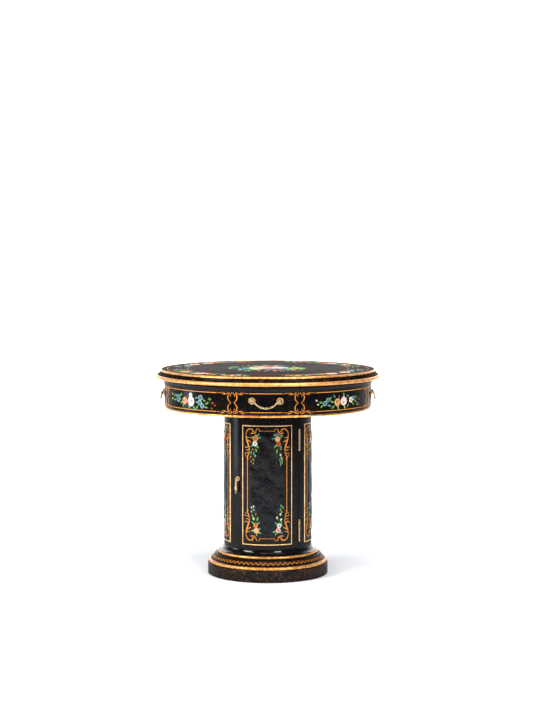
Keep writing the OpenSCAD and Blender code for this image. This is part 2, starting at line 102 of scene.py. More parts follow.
TINT = {
    "white": srgb(246, 244, 240), "cream": srgb(250, 232, 200), "grey": srgb(120, 136, 146),
    "pink_pale": srgb(252, 226, 214), "pink": srgb(240, 158, 156), "pink_deep": srgb(216, 78, 76),
    "red": srgb(196, 38, 24), "orange": srgb(232, 112, 26), "orange_pale": srgb(244, 170, 88),
    "orange_deep": srgb(176, 62, 12), "yellow": srgb(252, 206, 120), "peach": srgb(248, 206, 166),
    "plum": srgb(92, 36, 52), "plum_pale": srgb(204, 146, 166), "plum_dark": srgb(58, 16, 20),
    "mauve": srgb(150, 92, 120), "blue": srgb(42, 98, 120), "blue_pale": srgb(178, 214, 216),
    "blue_dark": srgb(14, 48, 66), "green": srgb(76, 150, 60), "green_pale": srgb(176, 214, 118),
    "green_dark": srgb(20, 78, 44), "teal": srgb(34, 122, 98), "teal_pale": srgb(134, 200, 186),
    "teal_dark": srgb(14, 66, 54), "brown": srgb(92, 62, 42), "brown_pale": srgb(146, 116, 88),
    "brown_dark": srgb(44, 28, 18), "gold": srgb(255, 166, 66), "gold_deep": srgb(206, 116, 38),
    "bronze": srgb(196, 116, 46), "bronze_deep": srgb(128, 70, 30), "black": srgb(12, 10, 12),
    "tan": srgb(226, 142, 66),
}


def mix(a, b, t):
    return tuple(a[i] + (b[i] - a[i]) * t for i in range(3)) + (1.0,)


# ---------- materials ----------

def new_material(name):
    material = bpy.data.materials.new(name)
    material.use_nodes = True
    tree = material.node_tree
    return material, tree, tree.nodes["Principled BSDF"]


def add(tree, kind, inputs=(), **settings):
    """A node with its settings and inputs; an input is a plain value or another node's output."""
    made = tree.nodes.new(kind)
    for key, value in settings.items():
        setattr(made, key, value)
    for key, value in dict(inputs).items():
        if isinstance(value, bpy.types.NodeSocket):
            tree.links.new(value, made.inputs[key])
        else:
            made.inputs[key].default_value = value
    return made


def ramp(tree, source, stops):
    """A colour ramp over source, with stops of (position, colour)."""
    made = add(tree, "ShaderNodeValToRGB", {"Fac": source})
    elements = made.color_ramp.elements
    while len(elements) < len(stops):
        elements.new(0.5)
    for element, (position, colour) in zip(elements, stops):
        element.position = position
        element.color = colour
    return made.outputs["Color"]


def spread(tree, source, low_value, high_value, from_low=0.0, from_high=1.0):
    """source, stretched to run from low_value to high_value."""
    return add(tree, "ShaderNodeMapRange", {"Value": source, "From Min": from_low, "From Max": from_high,
                                            "To Min": low_value, "To Max": high_value}).outputs["Result"]


def blended(tree, factor, a, b):
    made = add(tree, "ShaderNodeMix", {"Factor": factor}, data_type="RGBA")
    for socket, value in ((made.inputs[6], a), (made.inputs[7], b)):
        if isinstance(value, bpy.types.NodeSocket):
            tree.links.new(value, socket)
        else:
            socket.default_value = value
    return made.outputs[2]


def times(tree, a, b, operation="MULTIPLY"):
    made = add(tree, "ShaderNodeMath", {0: a, 1: b}, operation=operation)
    return made.outputs[0]


def lacquer(name, veins=1.0, quilt=0.0, streaks=0.0, gloss=0.5, haze=0.12):
    """Black lacquer over gesso with fine brown crackle under a clear coat; quilt dents it like leather and paints
    a blue-grey highlight on the middle of each cell.
    """
    material, tree, shader = new_material(name)
    place = add(tree, "ShaderNodeTexCoord").outputs["Object"]
    bend = add(tree, "ShaderNodeTexNoise", {"Vector": place, "Scale": 7.0, "Detail": 3.0})
    offset = add(tree, "ShaderNodeVectorMath", {0: bend.outputs["Color"], 1: (0.055, 0.055, 0.055)},
                 operation="MULTIPLY").outputs[0]
    warped = add(tree, "ShaderNodeVectorMath", {0: place, 1: offset}, operation="ADD").outputs[0]
    cells = add(tree, "ShaderNodeTexVoronoi", {"Vector": warped, "Scale": 118.0}, feature="DISTANCE_TO_EDGE")
    folds = add(tree, "ShaderNodeTexVoronoi", {"Vector": warped, "Scale": 15.0}, feature="DISTANCE_TO_EDGE")
    patches = add(tree, "ShaderNodeTexNoise", {"Vector": place, "Scale": 170.0, "Detail": 2.0})
    broad = add(tree, "ShaderNodeTexNoise", {"Vector": place, "Scale": 11.0, "Detail": 2.0})
    line = ramp(tree, cells.outputs["Distance"], [(0.0, (1, 1, 1, 1)), (0.06, (0, 0, 0, 1))])
    fold = ramp(tree, folds.outputs["Distance"], [(0.0, (1, 1, 1, 1)), (0.009, (0, 0, 0, 1))])
    broken = ramp(tree, patches.outputs["Fac"], [(0.48, (0, 0, 0, 1)), (0.6, (1, 1, 1, 1))])
    zones = spread(tree, broad.outputs["Fac"], 0.25, 1.1, 0.32, 0.62)
    dashes = times(tree, times(tree, line, broken), zones)
    creases = times(tree, fold, spread(tree, patches.outputs["Fac"], 0.1, 0.85, 0.42, 0.56))
    crackle = times(tree, times(tree, dashes, creases, "MAXIMUM"), veins)
    colour = blended(tree, crackle, srgb(5, 5, 6), srgb(112, 66, 30))
    if streaks:
        grain = add(tree, "ShaderNodeMapping", {"Vector": place, "Rotation": (0.3, 0.8, 0.3),
                                                "Scale": (430.0, 430.0, 90.0)}).outputs[0]
        flecks = add(tree, "ShaderNodeTexNoise", {"Vector": grain, "Scale": 1.0, "Detail": 3.0})
        specks = ramp(tree, flecks.outputs["Fac"], [(0.55, (0, 0, 0, 1)), (0.66, (1, 1, 1, 1))])
        colour = blended(tree, times(tree, specks, streaks), colour, srgb(112, 72, 38))
    tree.links.new(colour, shader.inputs["Base Color"])
    tree.links.new(spread(tree, broad.outputs["Fac"], 0.34, 0.5, 0.3, 0.7), shader.inputs["Roughness"])
    shader.inputs["Specular IOR Level"].default_value = 0.0
    shader.inputs["Coat Weight"].default_value = gloss
    shader.inputs["Coat Roughness"].default_value = haze
    shader.inputs["Coat Tint"].default_value = (0.86, 0.93, 1.0, 1.0)
    relief = times(tree, crackle, -0.4)
    if quilt:
        turned_place = add(tree, "ShaderNodeMapping",
                           {"Vector": warped, "Rotation": (0.0, 0.78, 0.0)}).outputs[0]
        dents = add(tree, "ShaderNodeTexVoronoi", {"Vector": turned_place, "Scale": 62.0},
                    feature="SMOOTH_F1")
        relief = times(tree, relief, times(tree, dents.outputs["Distance"], -quilt * 3), "ADD")
        # painted highlight: the middle of each raised quilted cell is tinted blue-grey, as if lit
        painted_cell_sheen = spread(tree, dents.outputs["Distance"], 1.0, 0.0, 0.1, 0.62)
        colour = blended(tree, times(tree, painted_cell_sheen, 0.5), colour, srgb(22, 26, 32))
        tree.links.new(colour, shader.inputs["Base Color"])
    bump = add(tree, "ShaderNodeBump", {"Height": relief, "Strength": 0.5, "Distance": 0.0012})
    tree.links.new(bump.outputs["Normal"], shader.inputs["Normal"])
    tree.links.new(bump.outputs["Normal"], shader.inputs["Coat Normal"])
    return material


def gilding(name, deep, mid, pale, metallic):
    """Gold leaf on a moulding, rubbed thin in places so that its red ground shows."""
    material, tree, shader = new_material(name)
    place = add(tree, "ShaderNodeTexCoord").outputs["Object"]
    cloud = add(tree, "ShaderNodeTexNoise", {"Vector": place, "Scale": 95.0, "Detail": 5.0,
                                             "Roughness": 0.62})
    fine = add(tree, "ShaderNodeTexNoise", {"Vector": place, "Scale": 320.0, "Detail": 3.0})
    leaf = ramp(tree, cloud.outputs["Fac"], [(0.3, srgb(*deep)), (0.48, srgb(*mid)),
                                              (0.7, srgb(*pale))])
    rubbed = ramp(tree, fine.outputs["Fac"], [(0.6, (0, 0, 0, 1)), (0.74, (1, 1, 1, 1))])
    colour = blended(tree, times(tree, rubbed, 0.5), leaf, srgb(122, 62, 26))
    tree.links.new(colour, shader.inputs["Base Color"])
    tree.links.new(spread(tree, fine.outputs["Fac"], 0.26, 0.5, 0.3, 0.7), shader.inputs["Roughness"])
    shader.inputs["Metallic"].default_value = metallic
    bump = add(tree, "ShaderNodeBump", {"Height": fine.outputs["Fac"], "Strength": 0.25, "Distance": 0.0006})
    tree.links.new(bump.outputs["Normal"], shader.inputs["Normal"])
    return material


def metal(name, base, dark, rough, grain=190.0):
    """Cast or rolled metal with a worn patina."""
    material, tree, shader = new_material(name)
    place = add(tree, "ShaderNodeTexCoord").outputs["Object"]
    patina = add(tree, "ShaderNodeTexNoise", {"Vector": place, "Scale": grain, "Detail": 4.0,
                                              "Roughness": 0.6})
    colour = ramp(tree, patina.outputs["Fac"], [(0.36, dark), (0.56, base)])
    tree.links.new(colour, shader.inputs["Base Color"])
    tree.links.new(spread(tree, patina.outputs["Fac"], rough + 0.14, rough - 0.06, 0.3, 0.7),
                   shader.inputs["Roughness"])
    shader.inputs["Metallic"].default_value = 0.8
    bump = add(tree, "ShaderNodeBump", {"Height": patina.outputs["Fac"], "Strength": 0.2, "Distance": 0.0004})
    tree.links.new(bump.outputs["Normal"], shader.inputs["Normal"])
    return material


def timber(name, pale, dark, stretch, rough=0.5):
    """Planed wood, its grain running along the axis where stretch is smallest."""
    material, tree, shader = new_material(name)
    place = add(tree, "ShaderNodeTexCoord").outputs["Object"]
    along = add(tree, "ShaderNodeMapping", {"Vector": place, "Scale": stretch}).outputs[0]
    rings = add(tree, "ShaderNodeTexNoise", {"Vector": along, "Scale": 1.0, "Detail": 5.0, "Distortion": 0.7})
    pores = add(tree, "ShaderNodeTexNoise", {"Vector": along, "Scale": 9.0, "Detail": 2.0})
    colour = ramp(tree, rings.outputs["Fac"], [(0.3, dark), (0.5, mix(dark, pale, 0.6)), (0.7, pale)])
    colour = blended(tree, spread(tree, pores.outputs["Fac"], 0.35, 0.0, 0.3, 0.5), colour, dark)
    tree.links.new(colour, shader.inputs["Base Color"])
    tree.links.new(spread(tree, pores.outputs["Fac"], rough + 0.1, rough - 0.08), shader.inputs["Roughness"])
    bump = add(tree, "ShaderNodeBump", {"Height": pores.outputs["Fac"], "Strength": 0.2, "Distance": 0.0005})
    tree.links.new(bump.outputs["Normal"], shader.inputs["Normal"])
    return material


def felt_material():
    material, tree, shader = new_material("felt")
    place = add(tree, "ShaderNodeTexCoord").outputs["Object"]
    fuzz = add(tree, "ShaderNodeTexNoise", {"Vector": place, "Scale": 900.0, "Detail": 4.0})
    tree.links.new(ramp(tree, fuzz.outputs["Fac"], [(0.3, srgb(30, 30, 30)), (0.7, srgb(70, 68, 66))]),
                   shader.inputs["Base Color"])
    shader.inputs["Roughness"].default_value = 0.95
    return material


def oil_paint():
    """Brush strokes in oil under varnish: each stroke's own colours, streaked along by the brush."""
    material, tree, shader = new_material("oil_paint")
    place = add(tree, "ShaderNodeTexCoord").outputs["Object"]
    stroke = add(tree, "ShaderNodeAttribute", attribute_name="tint").outputs["Color"]
    hairs = add(tree, "ShaderNodeTexNoise", {"Vector": place, "Scale": 420.0, "Detail": 2.0})
    shade = add(tree, "ShaderNodeHueSaturation", {"Color": stroke, "Saturation": 1.0,
                                                  "Value": spread(tree, hairs.outputs["Fac"], 0.5, 0.86,
                                                                  0.3, 0.7)})
    tree.links.new(shade.outputs["Color"], shader.inputs["Base Color"])
    tree.links.new(spread(tree, hairs.outputs["Fac"], 0.4, 0.56), shader.inputs["Roughness"])
    shader.inputs["Specular IOR Level"].default_value = 0.0
    shader.inputs["Coat Weight"].default_value = 0.14
    shader.inputs["Coat Roughness"].default_value = 0.2
    return material


BLACK_TOP = lacquer("lacquer_top", veins=0.85, gloss=0.075, haze=0.2)
BLACK = lacquer("lacquer_plain", veins=0.3, gloss=0.26)
BLACK_FOOT = lacquer("lacquer_foot", veins=0.2, gloss=0.7, haze=0.08)
BLACK_PANEL = lacquer("lacquer_quilted", veins=0.2, quilt=0.35, gloss=0.34, haze=0.12)
BLACK_PLINTH = lacquer("lacquer_streaked", veins=0.2, streaks=0.6, gloss=0.24)
GILT = gilding("gilt", (158, 92, 38), (208, 140, 68), (244, 196, 122), 0.65)
# painted highlight: a paler, less metallic copy of the gilt, so that the panel frames read as lit
GILT_PAINTED_LIT = gilding("gilt_painted_lit", (206, 146, 84), (244, 196, 132), (255, 232, 184), 0.25)
BRASS = metal("antique_brass", srgb(206, 172, 128), srgb(96, 66, 38), 0.36)
BRASS_DARK = metal("dark_brass", srgb(150, 108, 64), srgb(48, 30, 16), 0.42)
STEEL = metal("zinc_steel", srgb(176, 178, 182), srgb(112, 114, 120), 0.4)
FELT = felt_material()
PAINT = oil_paint()
PALE_WOOD = timber("drawer_wood", srgb(206, 166, 118), srgb(150, 108, 68), (30.0, 30.0, 150.0))
DARK_WOOD = timber("carcass_wood", srgb(96, 62, 40), srgb(48, 28, 18), (18.0, 120.0, 120.0))


# ---------- meshes ----------

def spot(angle, radius, z):
    """A point at an angle in degrees from the front, positive to the right, in metres."""
    a = math.radians(angle)
    return (radius * math.sin(a) * MM, -radius * math.cos(a) * MM, z * MM)


def make_object(name, points, faces, material, body, smooth=True):
    mesh = bpy.data.meshes.new(name)
    mesh.from_pydata(points, [], faces)
    mesh.materials.append(material)
    mesh.polygons.foreach_set("use_smooth", [smooth] * len(mesh.polygons))
    mesh.update()
    made = bpy.data.objects.new(name, mesh)
    bpy.context.scene.collection.objects.link(made)
    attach(made, body)
    return made


def soften(obj, width, segments=2, angle=32):
    """Rounds an object's sharp edges by width millimetres and keeps its flat faces flat."""
    bevel = obj.modifiers.new("soft edges", "BEVEL")
    bevel.width = width * MM
    bevel.segments = segments
    bevel.limit_method = "ANGLE"
    bevel.angle_limit = math.radians(angle)
    bevel.use_clamp_overlap = True
    flat = obj.modifiers.new("flat faces", "WEIGHTED_NORMAL")
    flat.keep_sharp = True
    return obj


def arc(cx, cz, rx, rz, t0, t1, steps=14):
    """Points of an elliptical arc, as (radius, height) pairs."""
    angles = [math.radians(t0 + (t1 - t0) * i / steps) for i in range(steps + 1)]
    return [(cx + rx * math.cos(t), cz + rz * math.sin(t)) for t in angles]


def bezier(p0, p1, p2, p3, steps=16):
    points = []
    for i in range(steps + 1):
        t = i / steps
        u = 1 - t
        weights = (u ** 3, 3 * u * u * t, 3 * u * t * t, t ** 3)
        points.append(tuple(sum(w * p[k] for w, p in zip(weights, (p0, p1, p2, p3))) for k in range(2)))
    return points


def turned(name, outline, material, body, a0=0.0, a1=360.0, step=1.4, edge=0.5):
    """A closed outline of (radius, height), counter-clockwise, turned from the angle a0 to a1."""
    whole = a1 - a0 >= 360
    count = max(4, round((a1 - a0) / step))
    rings = count if whole else count + 1
    points = [spot(a0 + (a1 - a0) * i / count, r, z) for i in range(rings) for r, z in outline]
    n = len(outline)
    faces = []
    for i in range(count):
        for j in range(n):
            here, there = i * n, ((i + 1) % rings) * n
            if outline[j][0] == 0 and outline[(j + 1) % n][0] == 0:
                continue
            quad = [here + j, there + j, there + (j + 1) % n, here + (j + 1) % n]
            if outline[j][0] == 0:
                quad[1] = quad[0]
            if outline[(j + 1) % n][0] == 0:
                quad[2] = quad[3]
            faces.append([v for k, v in enumerate(quad) if v not in quad[:k]])
    if not whole:
        faces.append(list(range(n)))
        faces.append([(rings - 1) * n + j for j in reversed(range(n))])
    made = make_object(name, points, faces, material, body)
    weld(made)
    if edge:
        soften(made, edge)
    return made


def weld(obj):
    """Joins points that lie together and turns every face outwards."""
    mesh = bmesh.new()
    mesh.from_mesh(obj.data)
    bmesh.ops.remove_doubles(mesh, verts=mesh.verts, dist=1e-7)
    bmesh.ops.recalc_face_normals(mesh, faces=mesh.faces)
    mesh.to_mesh(obj.data)
    mesh.free()


def tube(path, radii, sides=14):
    """Points and faces of a closed tube along a path of vectors, in millimetres."""
    points, faces = [], []
    up = Vector((0, 0, 1))
    for i, centre in enumerate(path):
        ahead = path[min(i + 1, len(path) - 1)] - path[max(i - 1, 0)]
        ahead.normalize()
        side = ahead.cross(up)
        if side.length < 0.05:
            side = ahead.cross(Vector((1, 0, 0)))
        side.normalize()
        over = side.cross(ahead)
        for k in range(sides):
            t = 2 * math.pi * k / sides
            points.append((centre + radii[i] * (math.cos(t) * side + math.sin(t) * over)) * MM)
    for i in range(len(path) - 1):
        for k in range(sides):
            a, b = i * sides + k, i * sides + (k + 1) % sides
            faces.append((a, b, b + sides, a + sides))
    faces.append(tuple(reversed(range(sides))))
    faces.append(tuple(range((len(path) - 1) * sides, len(path) * sides)))
    return points, faces


# ---------- turned and curved wood ----------

def table_top():
    cove_low = RIM_BEAD_Z[1]
    bead_in = SHOULDER_R - UPPER_BEAD_W
    outline = [(0, SLAB_Z), (EDGE_R, SLAB_Z), (EDGE_R, cove_low)]
    outline += arc(EDGE_R, UPPER_BEAD_LOW, EDGE_R - SHOULDER_R, UPPER_BEAD_LOW - cove_low, 270, 180)
    outline += [(bead_in, UPPER_BEAD_LOW), (bead_in, TOP_Z - 0.3), (bead_in - 0.6, TOP_Z), (0, TOP_Z)]
    top = turned("top_board", outline, BLACK_TOP, "table", edge=0)
    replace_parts(top, "top_panel", "top_edge_moulding")
    upper = [(bead_in, UPPER_BEAD_LOW)] + arc(bead_in, UPPER_BEAD_LOW, UPPER_BEAD_W, TOP_Z - UPPER_BEAD_LOW,
                                              0, 90)
    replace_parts(turned("gilt_upper_bead", upper, GILT, "table", edge=0), "top_upper_bead")
    low_z, high_z = RIM_BEAD_Z
    outer = arc(EDGE_R, (low_z + high_z) / 2, RIM_R - EDGE_R, (high_z - low_z) / 2, -90, 90, 24)
    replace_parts(turned("gilt_outer_bead", outer, GILT, "table", edge=0), "top_outer_bead")


RIM_COVE_W = 23
COVE_STEP = 1
DRUM_BEAD_H = 8
DRUM_BEAD_W = 2.2
DRUM_FOOT_R = DRUM_R - 5
RIM_COVE_Z = SLAB_Z - 25


def drum_outline(inner, top):
    """The drum's wall: the rounded lower edge above the gilt bead, the straight face and the cove."""
    out = DRUM_R + COVE_STEP + RIM_COVE_W
    outline = [(inner, DRUM_LOW), (DRUM_FOOT_R, DRUM_LOW), (DRUM_FOOT_R, DRUM_LOW + DRUM_BEAD_H)]
    outline += arc(DRUM_FOOT_R, DRUM_LOW + 14, 5, 14 - DRUM_BEAD_H, -90, 0, 6)[1:] + [(DRUM_R, RIM_COVE_Z)]
    outline += arc(out, RIM_COVE_Z, RIM_COVE_W, SLAB_Z - 1.5 - RIM_COVE_Z, 180, 90)
    return outline + [(out, top), (inner, top)]


def drum_bead():
    middle = DRUM_LOW + DRUM_BEAD_H / 2
    return [(DRUM_FOOT_R - 0.5, DRUM_LOW)] + arc(DRUM_FOOT_R, middle, DRUM_BEAD_W, DRUM_BEAD_H / 2, -90, 90) \
        + [(DRUM_FOOT_R - 0.5, DRUM_LOW + DRUM_BEAD_H)]


HALF_SEAM = 0.148
HALF_DRAWER = 18


def drum():
    for corner, middle in CORNERS.items():
        half = 45 - HALF_DRAWER - HALF_SEAM
        wall = turned("apron_wall_" + corner, drum_outline(DRUM_IN, SLAB_Z), BLACK, "table",
                      middle - half, middle + half)
        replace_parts(wall, "apron_" + corner)
        turned("apron_bead_" + corner, drum_bead(), GILT, "table", middle - half, middle + half,
               edge=0.3)
    for side, middle in SIDES.items():
        half = HALF_DRAWER - HALF_SEAM
        face = turned("drawer_front_" + side, drum_outline(DRUM_IN + 0.5, SLAB_Z - 1.5), BLACK,
                      "drawer_" + side, middle - half, middle + half)
        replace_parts(face, "drawer_face_" + side)
        turned("drawer_bead_" + side, drum_bead(), GILT, "drawer_" + side, middle - half,
               middle + half,
               edge=0.3)


DOOR_FREE = -50
HINGE_AT = 45
HALF_GAP = 0.353


def wall_outline(inner, z0, z1):
    return [(inner, z0), (COLUMN_R, z0), (COLUMN_R, z1), (inner, z1)]


def column():
    shell = turned("column_wall", wall_outline(WALL_IN, COLUMN_LOW, COLUMN_HIGH), BLACK, "table",
                   HINGE_AT + HALF_GAP, 360 + DOOR_FREE, edge=0.7)
    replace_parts(shell, "column_shell")
    neck = turned("column_neck", [(0, COLUMN_HIGH), (COLUMN_R, COLUMN_HIGH), (COLUMN_R, DRUM_LOW),
                                  (0, DRUM_LOW)],
                  BLACK, "table", edge=0.6)
    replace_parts(neck, "column_top_board")
    door = turned("door_panel", wall_outline(WALL_IN + 0.5, DOOR_LOW, DOOR_HIGH), BLACK, "door",
                  DOOR_FREE + HALF_GAP, HINGE_AT - HALF_GAP, edge=0.7)
    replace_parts(door, "door_leaf")


FRAME_W = 7.0
FRAME_T = 1.4
FRAME_HALF = 33.7


def gilt_frame(name, middle, body, node):
    """A gilt strip with a rounded face round one panel of the column, mitred at its corners."""
    half_w = FRAME_W / 2
    section = [(-half_w, 0.0), (-half_w, 0.5), (-half_w * 0.72, 1.15), (-half_w * 0.35, 1.4), (0, 1.5),
               (half_w * 0.35, 1.4), (half_w * 0.72, 1.15), (half_w, 0.5), (half_w, 0.0)]
    half_arc = math.radians(FRAME_HALF) * COLUMN_R
    centre_z = (FRAME_LOW + FRAME_HIGH) / 2
    half_z = (FRAME_HIGH - FRAME_LOW) / 2
    route = []
    across = 26
    for corner in range(4):
        sx, sz = [(-1, -1), (1, -1), (1, 1), (-1, 1)][corner]
        route.append((sx, sz))
        if corner == 0:
            route += [(-1 + 2 * i / across, -1) for i in range(1, across)]
        if corner == 2:
            route += [(1 - 2 * i / across, 1) for i in range(1, across)]
    points, faces = [], []
    for rx, rz in route:
        for shift, lift in section:
            # shift moves the strip's edge in or out along both directions at a corner
            u = rx * (half_arc - half_w) + (math.copysign(shift, rx) if abs(rx) == 1 else 0)
            v = rz * (half_z - half_w) + math.copysign(shift, rz)
            points.append(spot(middle + math.degrees(u / COLUMN_R), COLUMN_R + lift * FRAME_T / 1.4 - 0.05,
                               centre_z + v))
    n, m = len(section), len(route)
    for i in range(m):
        for j in range(n - 1):
            a, b = i * n + j, ((i + 1) % m) * n + j
            faces.append((a, b, b + 1, a + 1))
    # the frames take the paler copy of the gilt: a painted highlight
    made = make_object(name, points, faces, GILT_PAINTED_LIT, body)
    weld(made)
    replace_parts(made, node)
    return made


BEAD_SEAT_R = 170
OGEE_IN_R = 130
OGEE_FOOT_R = 215
PLINTH_SEAT_R = 205
FOOT_BEAD_TRIM = 1.2


def base():
    cove_low, cove_high = COVE_Z
    outline = [(WALL_IN, cove_low), (COVE_R, cove_low), (COVE_R, cove_low + 0.6)]
    outline += arc(COVE_R, cove_high, COVE_R - COLUMN_R, cove_high - cove_low - 0.6, 270, 180)[1:]
    outline += [(WALL_IN, cove_high)]
    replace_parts(turned("foot_cove", outline, BLACK_FOOT, "table", edge=0.3), "base_cove")
    bead_low = OGEE_Z[1]
    middle = (bead_low + cove_low) / 2
    bead = [(BEAD_SEAT_R, bead_low)] + arc(COVE_R, middle, HIGH_BEAD_R - COVE_R, (cove_low - bead_low) / 2 - 1.2,
                                   -90, 90)
    bead += [(BEAD_SEAT_R, cove_low)]
    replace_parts(turned("foot_upper_bead", bead, GILT, "table", edge=0), "base_upper_bead")
    ogee = [(OGEE_IN_R, OGEE_Z[0]), (OGEE_FOOT_R, OGEE_Z[0])] + ogee_curve()
    ogee += [(BEAD_SEAT_R, bead_low), (BEAD_SEAT_R, cove_low), (OGEE_IN_R, cove_low)]
    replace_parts(turned("foot_ogee", ogee, BLACK, "table", edge=0.3), "base_ogee")
    middle = (PLINTH_Z[1] + OGEE_Z[0]) / 2
    bead_r = PLINTH_R - 8
    bead = [(PLINTH_SEAT_R, PLINTH_Z[1])] + arc(bead_r, middle, LOW_BEAD_R - bead_r, (OGEE_Z[0] - PLINTH_Z[1]) / 2,
                                      -90, 90, 20)
    bead += [(PLINTH_SEAT_R, OGEE_Z[0])]
    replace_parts(turned("foot_lower_bead", bead, GILT, "table", edge=0), "base_lower_bead")
    soft = 3
    block = [(180, PLINTH_Z[0])] + arc(PLINTH_R - 1, PLINTH_Z[0] + 1, 1, 1, -90, 0, 4)
    block += arc(PLINTH_R - soft, PLINTH_Z[1] - soft, soft, soft, 0, 90, 8) + [(180, PLINTH_Z[1])]
    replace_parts(turned("foot_plinth", block, BLACK_PLINTH, "table", edge=0.4), "plinth")


def ogee_curve():
    foot = (215, OGEE_Z[0] + 1)
    shoulder = (COVE_R + 5, OGEE_Z[1])
    return bezier(foot, (foot[0] - 12, foot[1] + 4), (shoulder[0] + 13, shoulder[1]), shoulder)


table_top()
drum()
column()
for side, middle in SIDES.items():
    if side == "front":
        gilt_frame("door_gilt_frame", 0, "door", "door_frame")
    else:
        gilt_frame("gilt_frame_" + side, middle, "table", "panel_frame_" + side)
base()


# ---------- brass hardware ----------

HANDLE_Z = (low("handle_posts_front")[2] + high("handle_posts_front")[2]) / 2
POST_ANGLE = 7.42
POST_L = 10.0
BALL_R = 4.8
PIVOT_X = (DRUM_R + POST_L) * math.cos(math.radians(POST_ANGLE))
BALL_Y = (DRUM_R + POST_L) * math.sin(math.radians(POST_ANGLE))
ELBOW_Y = 42.8
BAIL_LEAN = 16.0
BAIL_SAG = 25.8
STUD_R = 2.0


def local(angle, x, y, z):
    """The point x out from the table's axis and y to the right, as seen when facing the angle's side."""
    a = math.radians(angle)
    return Vector((x * math.sin(a) + y * math.cos(a), -x * math.cos(a) + y * math.sin(a), z))


def lathed(name, origin, axis, profile, material, body, sides=36):
    """A profile of (radius, distance) turned about any axis; origin and profile are in millimetres."""
    axis = axis.normalized()
    side = axis.orthogonal().normalized()
    over = axis.cross(side)
    points, faces = [], []
    for radius, along in profile:
        for k in range(sides):
            t = 2 * math.pi * k / sides
            points.append((origin + axis * along + radius * (math.cos(t) * side + math.sin(t) * over)) * MM)
    for i in range(len(profile) - 1):
        for k in range(sides):
            a, b = i * sides + k, i * sides + (k + 1) % sides
            faces.append((a, b, b + sides, a + sides))
    made = make_object(name, points, faces, material, body)
    weld(made)
    return made


def rosette_profile(r, stud):
    """A rosette with a rim bead, a hollow and a domed middle, on a stud through the wall."""
    rim = arc(r - 1.1, 1.1, 1.1, 1.1, 0, 150, 8)
    hollow = arc(r - 4.0, 2.0, 1.9, 1.5, 0, -180, 8)
    dome = arc(0, 1.9, r - 6.2, 2.6, 0, 62, 8)
    return [(0, -stud - 0.01), (STUD_R, -stud), (STUD_R, -0.4), (r, -0.4)] + rim + hollow + dome


def ring_of_petals(name, origin, axis, radius, petals, size, lift, body):
    """Small raised petals round a rosette's dome, as the cast brass has."""
    axis = axis.normalized()
    side = axis.orthogonal().normalized()
    over = axis.cross(side)
    points, faces = [], []
    for petal in range(petals):
        t = 2 * math.pi * petal / petals
        outward = math.cos(t) * side + math.sin(t) * over
        across = axis.cross(outward)
        start = len(points)
        rows, columns = 7, 6
        for i in range(rows):
            s = i / (rows - 1)
            width = size * 0.42 * math.sin(math.pi * (0.12 + 0.83 * s)) + 0.02
            for j in range(columns):
                c = 2 * j / (columns - 1) - 1
                height = lift * (1 - c * c) * math.sin(math.pi * (0.1 + 0.85 * s)) - 0.1
                points.append((origin + outward * (radius + size * (s - 0.5)) + across * width * c
                               + axis * height) * MM)
        for i in range(rows - 1):
            for j in range(columns - 1):
                a = start + i * columns + j
                faces.append((a, a + 1, a + columns + 1, a + columns))
    made = make_object(name, points, faces, BRASS_DARK, body)
    thick = made.modifiers.new("cast thickness", "SOLIDIFY")
    thick.thickness = 0.5 * MM
    thick.offset = -1
    return made


def handle_posts(side, middle):
    body = "drawer_" + side
    for hand, s in (("left", -1), ("right", 1)):
        direction = middle + s * POST_ANGLE
        out = local(direction, 1, 0, 0)
        origin = out * DRUM_R + Vector((0, 0, HANDLE_Z))
        profile = rosette_profile(12.8, DRUM_R - DRUM_IN + 3.5)
        profile += [(3.7, 4.3), (3.0, 4.9), (2.8, 5.6)] + arc(0, POST_L, BALL_R, BALL_R, -54, 90, 16)
        post = lathed(f"handle_post_{side}_{hand}", origin, out, profile, BRASS, body)
        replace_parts(post, "handle_posts_" + side)
        ring_of_petals(f"handle_rosette_petals_{side}_{hand}", origin + out * 2.2, out, 6.3, 10, 3.0, 1.0,
                       body)
        nut = [(STUD_R, 0), (4.4, 0), (4.4, 1.2), (4.0, 1.8)] + arc(0, 1.8, 3.4, 2.6, 0, 90, 8)
        lathed(f"handle_nut_{side}_{hand}", origin - out * (DRUM_R - DRUM_IN - 0.5), -out, nut, BRASS, body,
               24)


def bail_thickness(s):
    """Radius of the bail at s millimetres along from its middle: boss, collars, swell and taper."""
    s = abs(s)
    boss = 2.3 * math.exp(-(s / 2.6) ** 4)
    collar = 1.3 * math.exp(-((s - 6.4) / 0.9) ** 2)
    swell = 0.8 * math.exp(-((s - 20) / 8.5) ** 2)
    knuckle = 0.9 * math.exp(-((s - 44) / 4) ** 2)
    return 2.8 + boss + collar + swell + knuckle


